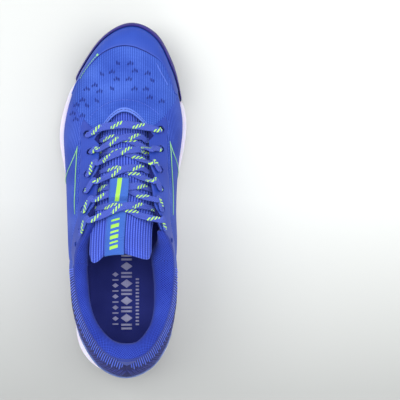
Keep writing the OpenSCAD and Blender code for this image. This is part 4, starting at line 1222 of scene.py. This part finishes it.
def tongue():
    """Padded, ribbed tongue in one piece, bent over the crease near its free end, with two soft lobes."""
    us, vs = np.linspace(-1, 1, 41), np.linspace(0, 1, 60)
    u, v = np.meshgrid(us, vs, indexing="ij")
    # how far back the free end reaches at each share of the width, which draws its two lobes
    reach = table([[-1, 37.5], [-0.97, 41.5], [-0.92, 44], [-0.86, 45.2], [-0.77, 45.4], [-0.69, 44.8],
                   [-0.6, 43.4], [-0.52, 41.9], [-0.46, 41.5], [0.1, 41.5], [0.2, 42.3], [0.35, 42.9],
                   [0.5, 43.3], [0.7, 43.5], [0.84, 43], [0.92, 41.8], [0.97, 39.6], [1, 36]], u)
    y = lerp(TONGUE_ROOT, -reach, v)
    x = u * tongue_half(y)
    end_round = np.sqrt(np.clip(1 - smooth((v - 0.955) / 0.045) ** 2, 0.0, 1))
    side_round = np.sqrt(np.clip(1 - abs(u) ** 5, 0.0, 1))
    puff = 1 + 0.35 * smooth((v - 0.8) / 0.12) * smooth((abs(u) - 0.35) / 0.3)
    half = (tongue_pad(y, u) * puff + COVER) * np.maximum(end_round * side_round, 0.12)
    top = on_tongue(x, y, half)
    bottom = on_tongue(x, y, -half * 0.9)
    swollen = inflate("tongue", top[:, ::-1], TONGUE_RELIEF)[:, ::-1]
    ni, nj = 300, 160
    top, bottom = resample(swollen, ni, nj), resample(bottom, ni, nj)
    u, v = np.meshgrid(np.linspace(-1, 1, ni), np.linspace(0, 1, nj), indexing="ij")
    ribs = 24
    # ridge also colours the cloth: painted shade in the rib valleys, painted highlight on the crests
    ridge = abs(np.cos(np.pi * u * ribs / 2)) ** 0.8
    depth = 0.85 * smooth(v / 0.1) * smooth((1 - v) / 0.02) * smooth((1 - abs(u)) / 0.05)
    normal = unit(np.cross(np.gradient(top, axis=1), np.gradient(top, axis=0)))
    if normal[ni // 2, nj // 2, 2] < 0:
        normal = -normal
    top = top + normal * ((ridge - 0.7) * depth)[..., None]
    weave = np.stack([u * 26, v * 135], -1)
    piece = shell("tongue_padded", top, bottom, None, MAT["tongue"],
                  ["tongue_cover", "tongue_foam", "tongue_lining", "tongue_tip_cover", "tongue_tip_foam",
                   "tongue_tip_lining"], weave=weave, marks={"ridge": ridge})
    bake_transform(piece)


def strip_x(y):
    """Middle of the tape, from the tongue's own middle line."""
    return lerp(-3.8, -8.4, smooth((20 - y) / 62)) - tongue_shift(y)


LABEL_HALF = 7.6
LABEL_THICKNESS = 0.9
KEEPER_HEIGHT = 4.4
# the tape's way from the keeper loop to its end, as [plan place, lift above the tongue]
TAPE_Y, TAPE_LIFT = curve(
    [[16.2, 0.3], [15.1, 1.6], [14.1, 3.4], *([y, KEEPER_HEIGHT] for y in (12.8, 8, 3, 0.4)),
     [-0.8, 3.4], [-2, 1.6], *([y, 0.3] for y in (-3.2, -8.5, -14, -19, -24, -30, -36, -41.5, -44.9))], 8).T
TAPE_SHARE = np.linspace(0, 1, len(TAPE_Y))


def tape_point(share, s, extra):
    """Point on the tape; share runs across it from -1 to 1, s along it from 0 to 1."""
    y, lift = np.interp(s, TAPE_SHARE, TAPE_Y), np.interp(s, TAPE_SHARE, TAPE_LIFT)
    x = strip_x(y) + share * LABEL_HALF
    return on_tongue(x, y, tongue_top(x, y) + lift + extra)


def tape_place(y):
    """Place along the tape of a plan position on its flat or raised part."""
    return np.interp(-y, -TAPE_Y, TAPE_SHARE)


def label():
    """Woven tape: the keeper loop, its run down the tongue, a lime bar, slanted bars and stitching."""
    share, s = np.meshgrid(np.linspace(-1, 1, 25), np.linspace(0, 1, 170), indexing="ij")
    edge = np.where(abs(share) > 0.93, 0.72, 1.0)
    top, base = tape_point(share, s, LABEL_THICKNESS * edge), tape_point(share, s, 0)
    weave = np.stack([share * LABEL_HALF, s * 75], -1)
    piece = shell("label_tape", top, base, None, MAT["tape"], ["lace_keeper", "tongue_label"], weave=weave)
    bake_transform(piece)

    patches = []

    def patch(corners, n=8):
        """Raised print between four corners given as [share across, plan place]."""
        a, b, c, d = (np.array(p, float) for p in corners)
        f, g = np.meshgrid(np.linspace(0, 1, n), np.linspace(0, 1, n), indexing="ij")
        f, g = f[..., None], g[..., None]
        q = (1 - f) * (1 - g) * a + f * (1 - g) * b + f * g * c + (1 - f) * g * d
        place = tape_place(q[..., 1])
        patches.append([tape_point(q[..., 0], place, LABEL_THICKNESS + rise) for rise in (0.14, -0.1)])

    patch([[-0.2, 14.6], [-0.36, -3.0], [0.1, -3.0], [0.28, 14.6]], n=26)
    # generic marks: slanted bars, wide and narrow in turn
    for y, wide in ((-16, 1.5), (-20, 3.0), (-25.2, 1.5), (-28.6, 3.0), (-33.8, 1.5), (-37.2, 2.6)):
        patch([[-0.5, y - 1.4], [-0.5, y - 1.4 - wide], [0.36, y - wide], [0.36, y]])
    mark = sheets("label_marks", patches, None, MAT["lime"])
    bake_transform(mark)
    for i, side in enumerate((-0.86, 0.86)):
        along = np.linspace(0.44, 0.99, 120)
        line = tape_point(np.full(120, side), along, LABEL_THICKNESS * 0.98)
        y = line[:, 1]
        normals = tongue_normal(line[:, 0] - tongue_shift(y), y)
        row = stitches(f"label_stitching_{i}", line, normals, 2.1, 1.5, 0.2, None, MAT["thread"], 0.18)
        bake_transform(row)


# ---------- lace ----------
CROSSINGS = [47, 36, 21.5, 7, -8.5]
CROSSING_LIFT = [0.6, 0.6, 0.6, 0.5, 1.7]
HALF_T, HALF_W = 0.8, 3.5
OVER = OVERLAY_TOP + 0.6 + HALF_T
UNDER = -LINING_BASE - 0.5 - HALF_T
# how a crossing lies on the tongue: x and y from its middle, extra lift, half width
OVER_TONGUE = ((14, 2.5, 0, 3), (7, 1.3, 0, HALF_W), (0, 0, 0, HALF_W), (-7, -2.3, 0, HALF_W),
               (-14, -5, 1.1, 3.2))
LATERAL_TAIL = [[5.75, 0.80], [6.1, 0.70], [6.6, 0.61], [7.2, 0.54], [7.8, 0.48], [8.4, 0.43]]
MEDIAL_TAIL = [[18.1, 0.82], [17.8, 0.71], [17.3, 0.61], [16.7, 0.54], [16.1, 0.48], [15.5, 0.43]]


def hole_points(q, s, turn):
    """Way down through the hole q: each point's place, the way the lace faces, half width and half height."""
    n, away, p = skin_normal(*q), -unit(along_up(*q)), skin(*q)
    return [
        (p + 2 * n - 1.3 * away, unit(s * (n + away)), 1.9, 0.9),
        (p - 0.6 * n, s * away, 1.6, 1.1),
        (p - 3.4 * n, unit(s * (away - 0.4 * n)), 1.6, 0.9),
        (p - 4.7 * n - 1.6 * turn * away, unit(-turn * s * (n - 0.3 * turn * away)), 1.9, 0.7),
    ]


def edge_station(side, y):
    """Station whose top edge stands at the plan place y."""
    ks = np.arange(5, 9.76, 0.25) if side < 0 else np.arange(14.25, 19.01, 0.25)
    ys = skin(ks, 1.0)[:, 1]
    order = np.argsort(ys)
    return float(np.interp(y, ys[order], ks[order]))


def crossing_points(r, side, s):
    """From the hole of row r on one side, up over the tongue and on to the next row on the other side."""
    start = LATERAL_EYELETS[r] if side < 0 else MEDIAL_EYELETS[r]
    to = MEDIAL_EYELETS[r + 1] if side < 0 else LATERAL_EYELETS[r + 1]
    y = CROSSINGS[r]
    high = 2 * HALF_T + 0.25 if side > 0 else 0
    lift = CROSSING_LIFT[r] + HALF_T + high
    leave, meet = edge_station(side, y + 3), edge_station(-side, y - 7.6)
    rise = 1.3 if side < 0 else 0.8
    away = -unit(along_up(*to))
    points = hole_points(start, s, 1)
    points.append((on_skin(leave, 0.985, UNDER - 0.6), -s * skin_normal(leave, 1.0), 2.2, 0.7))
    for ex, ey, more, width in OVER_TONGUE:
        x, v = side * ex, y + ey
        drop = 0.8 if CROSSING_LIFT[r] > 1 and abs(x) > 10 else 0
        height = tongue_top(x, v) + lift + more - drop
        points.append((on_tongue(x, v, height), -s * tongue_normal(x, v), width, HALF_T))
    face = -s * skin_normal(meet, 1.0)
    points += [(past_top(meet, 1.0, OVER + rise, 1.5), face, 2.7, HALF_T),
               (on_skin(meet, 0.97, OVER + rise), face, 2.7, HALF_T),
               (on_skin(*to, OVER + 0.2) - 3.6 * away, -s * skin_normal(*to), 2.5, HALF_T)]
    return points


def tail_points(side, s):
    """Down through the last hole and on inside the upper to the lace's end."""
    path = LATERAL_TAIL if side < 0 else MEDIAL_TAIL
    q = LATERAL_EYELETS[5] if side < 0 else MEDIAL_EYELETS[5]
    points = hole_points(q, s, -1)
    for i, (k, w) in enumerate(path):
        depth = UNDER - (0.8 if i == 0 else 0.2)
        half = (1.1, 0.6) if i == len(path) - 1 else (HALF_W - 0.8, HALF_T)
        points.append((on_skin(k, w, depth), s * skin_normal(k, w), *half))
    return points


def strand(side):
    """Half the lace, from the bar at the toe end to its tail."""
    q = LATERAL_EYELETS[0] if side < 0 else MEDIAL_EYELETS[0]
    n, up = skin_normal(*q), unit(along_up(*q))
    k = edge_station(side, 57)
    points = [(on_skin(k, 0.99, OVER + 0.2), skin_normal(k, 1.0), HALF_W, HALF_T),
              (on_skin(*q, OVER + 0.2) + 3.6 * up, n, 2.5, HALF_T)]
    for r in range(5):
        points += crossing_points(r, side if r % 2 == 0 else -side, 1 if r % 2 == 0 else -1)
    return points + tail_points(-side, -1)


def lace():
    """Flat braided lace threaded through both rows of holes, its two ends tucked inside."""
    bar = (np.array([0, 61, 68.6]), np.array([0, 0, 1.0]), HALF_W, HALF_T)
    points = strand(-1)[::-1] + [bar] + strand(1)
    places, faces, widths, heights = (np.array(column, float) for column in zip(*points))
    path = curve(places, 9)
    span, knots = np.linspace(0, len(points) - 1, len(path)), np.arange(len(points))
    up = unit(np.stack([np.interp(span, knots, column) for column in faces.T], -1))
    width, height = np.interp(span, knots, widths), np.interp(span, knots, heights)
    # flat middle with two beaded edges, as a tubular braid lies when it is pulled flat
    section = [[-1, 0], [-0.96, 0.6], [-0.85, 0.95], [-0.7, 0.95], [-0.5, 0.8], [0, 0.86], [0.5, 0.8],
               [0.7, 0.95], [0.85, 0.95], [0.96, 0.6], [1, 0]]
    section = (section + [[x, -y] for x, y in section[-2:0:-1]])[::-1]
    turned = np.where(up[:, 2] < 0, -1, 1)
    piece = sweep("lace_braided", [(path, up, width * 0.88, height * 0.95)], section, "shoe", MAT["lace"],
                  ["lace"], turned)


def aglets():
    """Two crimped plastic sleeves on the lace ends."""
    paths = []
    for path, tip in ((LATERAL_TAIL, (9.15, 0.40)), (MEDIAL_TAIL, (14.75, 0.40))):
        end = on_skin(*path[-1], UNDER - 0.2)
        d = unit(on_skin(*tip, UNDER - 1.2) - end)
        t = np.concatenate([[0, 0.01], np.linspace(0.03, 0.97, 40), [0.99, 1]])
        crimp = 1 - 0.12 * ((abs(t - 0.3) < 0.02) | (abs(t - 0.6) < 0.02))
        half = 1.45 * crimp * np.sqrt(np.clip(1 - (2 * t - 1) ** 12, 0.1, 1))
        paths.append((end + np.outer(0.3 + 20 * t, d), [0.1, 0.2, 1.0], half, half))
    sweep("aglet_sleeves", paths, oval(20), "shoe", MAT["aglet"], ["aglets"])


# ---------- sockliner ----------
SOCK_INSET = 9.3


def on_liner(x, y, off=0):
    """Point above the footbed's top: a cupped rim, a pad under the ball and a dip under the heel."""
    left, right = plan_span(SOCK_INSET, y)
    cup = (1 - smooth(np.minimum(x - left, right - x) / 9)) * rim(y)
    pad = 0.5 * np.exp(-(((x - 2) / 13) ** 2 + ((y - 62) / 18) ** 2))
    dip = 0.5 * np.exp(-(((x - 1) / 12) ** 2 + ((y + 98) / 18) ** 2))
    return np.stack([x, y, bed(y) + SOCKLINER_TOP + 0.75 + cup + pad - dip + off], -1)


def sockliner():
    """Removable footbed: foam core, cloth top with an edge bead, and a generic print."""
    ys = plan_rows(SOCK_INSET, 170)
    left, right = plan_span(SOCK_INSET, ys)
    ts = np.concatenate([[0, 0.006, 0.02], np.linspace(0.05, 0.95, 50), [0.98, 0.994, 1]])
    x = lerp(left[:, None], right[:, None], ts[None, :])
    y = np.broadcast_to(ys[:, None], x.shape)
    x, y = x[:, ::-1], y[:, ::-1]
    drop = 0.7 * (1 - edge_round(ts, 0.02))[None, ::-1]
    piece = shell("sockliner_cloth", on_liner(x, y, -drop), on_liner(x, y, -0.9), "sockliner", MAT["insole"],
                  ["sockliner_cover"])
    under = np.stack([x, y, bed(y) + 2.15], -1)
    core = shell("sockliner_core", on_liner(x, y, -0.95), under, "sockliner", MAT["foam"], ["sockliner_foam"])

    signs = []

    def add(px, py):
        signs.append((on_liner(px, py, 0.1), on_liner(px, py, -0.15)))

    def bar(x0, x1, y0, y1):
        add(*np.meshgrid(np.linspace(x0, x1, 6), np.linspace(y0, y1, 4), indexing="ij"))

    def lozenge(cx, cy, rx, ry):
        u, v = np.meshgrid(np.linspace(-1, 1, 9), np.linspace(-1, 1, 7), indexing="ij")
        add(cx + rx * u, cy + ry * v * (1.06 - abs(u)))

    # three columns of plain signs: lozenges between bars, larger ones in the middle
    for i, cy in enumerate(np.arange(-62, -106, -4.6)):
        if i % 2:
            bar(-9.2, -4.2, cy - 0.6, cy + 0.6)
        else:
            lozenge(-6.7, cy, 2.6, 1.9)
    for i, cy in enumerate(np.arange(-48, -106, -7.2)):
        if i % 2:
            lozenge(2.6, cy, 4.7, 3.4)
        else:
            bar(-1.9, 7.1, cy + 0.7, cy + 2.4)
            bar(-1.9, 7.1, cy - 2.4, cy - 0.7)
    for cy in np.arange(-66, -106, -2.9):
        bar(10.2, 13.0, cy - 0.7, cy + 0.7)
    sheets("sockliner_print", signs, "sockliner", MAT["print"])
    line = on_liner(*outline(np.linspace(0.05, COUNT - 0.05, 900), -13.2).T)
    stitches("sockliner_stitching", line, np.tile([0, 0, 1.0], (len(line), 1)), 3.2, 2.2, 0.2, "sockliner",
             MAT["dark_thread_and_painted_shade"], 0.22)


# ---------- pieces that keep their CAD shape ----------
def dress_cad():
    for name, key in (("shank_plate", "shank"), ("strobel_board", "board"), ("toe_puff", "stiff"),
                      ("heel_counter", "stiff"), ("eyelet_backer_lateral", "backer"),
                      ("eyelet_backer_medial", "backer")):
        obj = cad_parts[name]
        obj.data.materials.clear()
        obj.data.materials.append(MAT[key])


# ---------- stage ----------
def stage():
    """Pale floor with painted light, darker towards the bottom and brighter to the right; soft studio light
    and the overhead camera.
    """
    mesh = bpy.data.meshes.new("floor")
    half, depth = 2.4, 0.0002
    corners = [(x, y, -depth) for x in (-half, half) for y in (-half, half)]
    mesh.from_pydata(corners, [], grid_faces(2, 2))
    floor = add_object("floor", mesh)
    s = Shade("floor_paper", 0.9, 0.1)
    x, y, _ = s.split(s.node("ShaderNodeTexCoord", "Object"))
    # painted light: the floor darkens towards the bottom of the view and brightens to the right, painting out
    # the key lamp's falloff and the shoe's shadow there
    near = s.node("ShaderNodeMapRange", i0=y, i1=-0.165, i2=0.0, i3=0.37, i4=0.605)
    side = s.node("ShaderNodeMapRange", i0=x, i1=-0.05, i2=0.06, i3=1.03, i4=1.12)
    mottle = s.math("MULTIPLY_ADD", s.noise(s.place(), 0.01), 0.01, -0.005)
    tone = s.math("ADD", s.math("MULTIPLY", near, side), mottle)
    mesh.materials.append(s.finish(s.ramp(tone, (0.0, (0, 0, 0)), (1.0, (253, 255, 252)))))

    def lamp(name, place, aim, size, power):
        data = bpy.data.lights.new(name, "AREA")
        data.size = size
        data.energy = power
        obj = add_object(name, data)
        obj.location = place
        obj.rotation_euler = (Vector(aim) - Vector(place)).to_track_quat("-Z", "Y").to_euler()

    lamp("key", (-1.5, 0.5, 2.1), (0, 0, 0.03), 1.9, 44)
    lamp("fill", (1.5, 0.2, 1.8), (0, 0, 0.03), 1.6, 16)
    lamp("top", (0.3, 0.6, 2.4), (0.1, 0, 0), 1.6, 20)
    lamp("back", (0.2, -1.6, 1.2), (0, 0, 0.05), 0.9, 6)
    world = bpy.data.worlds.new("studio")
    world.use_nodes = True
    sky = world.node_tree.nodes["Background"].inputs
    sky["Color"].default_value = (0.95, 0.97, 1.0, 1)
    sky["Strength"].default_value = 0.62
    bpy.context.scene.world = world
    bpy.context.scene.view_settings.view_transform = "Standard"

    data = bpy.data.cameras.new("camera")
    camera = add_object("camera", data)
    # over the lacing, turned a little so that the shoe stands left of the middle
    height, turn, distance, view_width = 1.4, 3.5, 1.38, 0.3357
    camera.location = (-0.020, 0, height)
    camera.rotation_euler = (0, -math.radians(turn), 0)
    data.sensor_width = 36
    data.lens = data.sensor_width * distance / view_width
    bpy.context.scene.camera = camera


def build():
    sole_base("outsole_forefoot_rubber", *FOREFOOT, "outsole_forefoot")
    sole_base("outsole_heel_rubber", *REARFOOT, "outsole_heel")
    tread("forefoot_tread", *FOREFOOT)
    tread("heel_tread", *REARFOOT)
    pivot_rings()
    midsole()
    toe_bumper()
    upper_panels()
    overlays()
    accent_lines()
    heel_pieces()
    inside_pieces()
    collar()
    tongue()
    label()
    lace()
    aglets()
    sockliner()
    dress_cad()
    stage()


build()
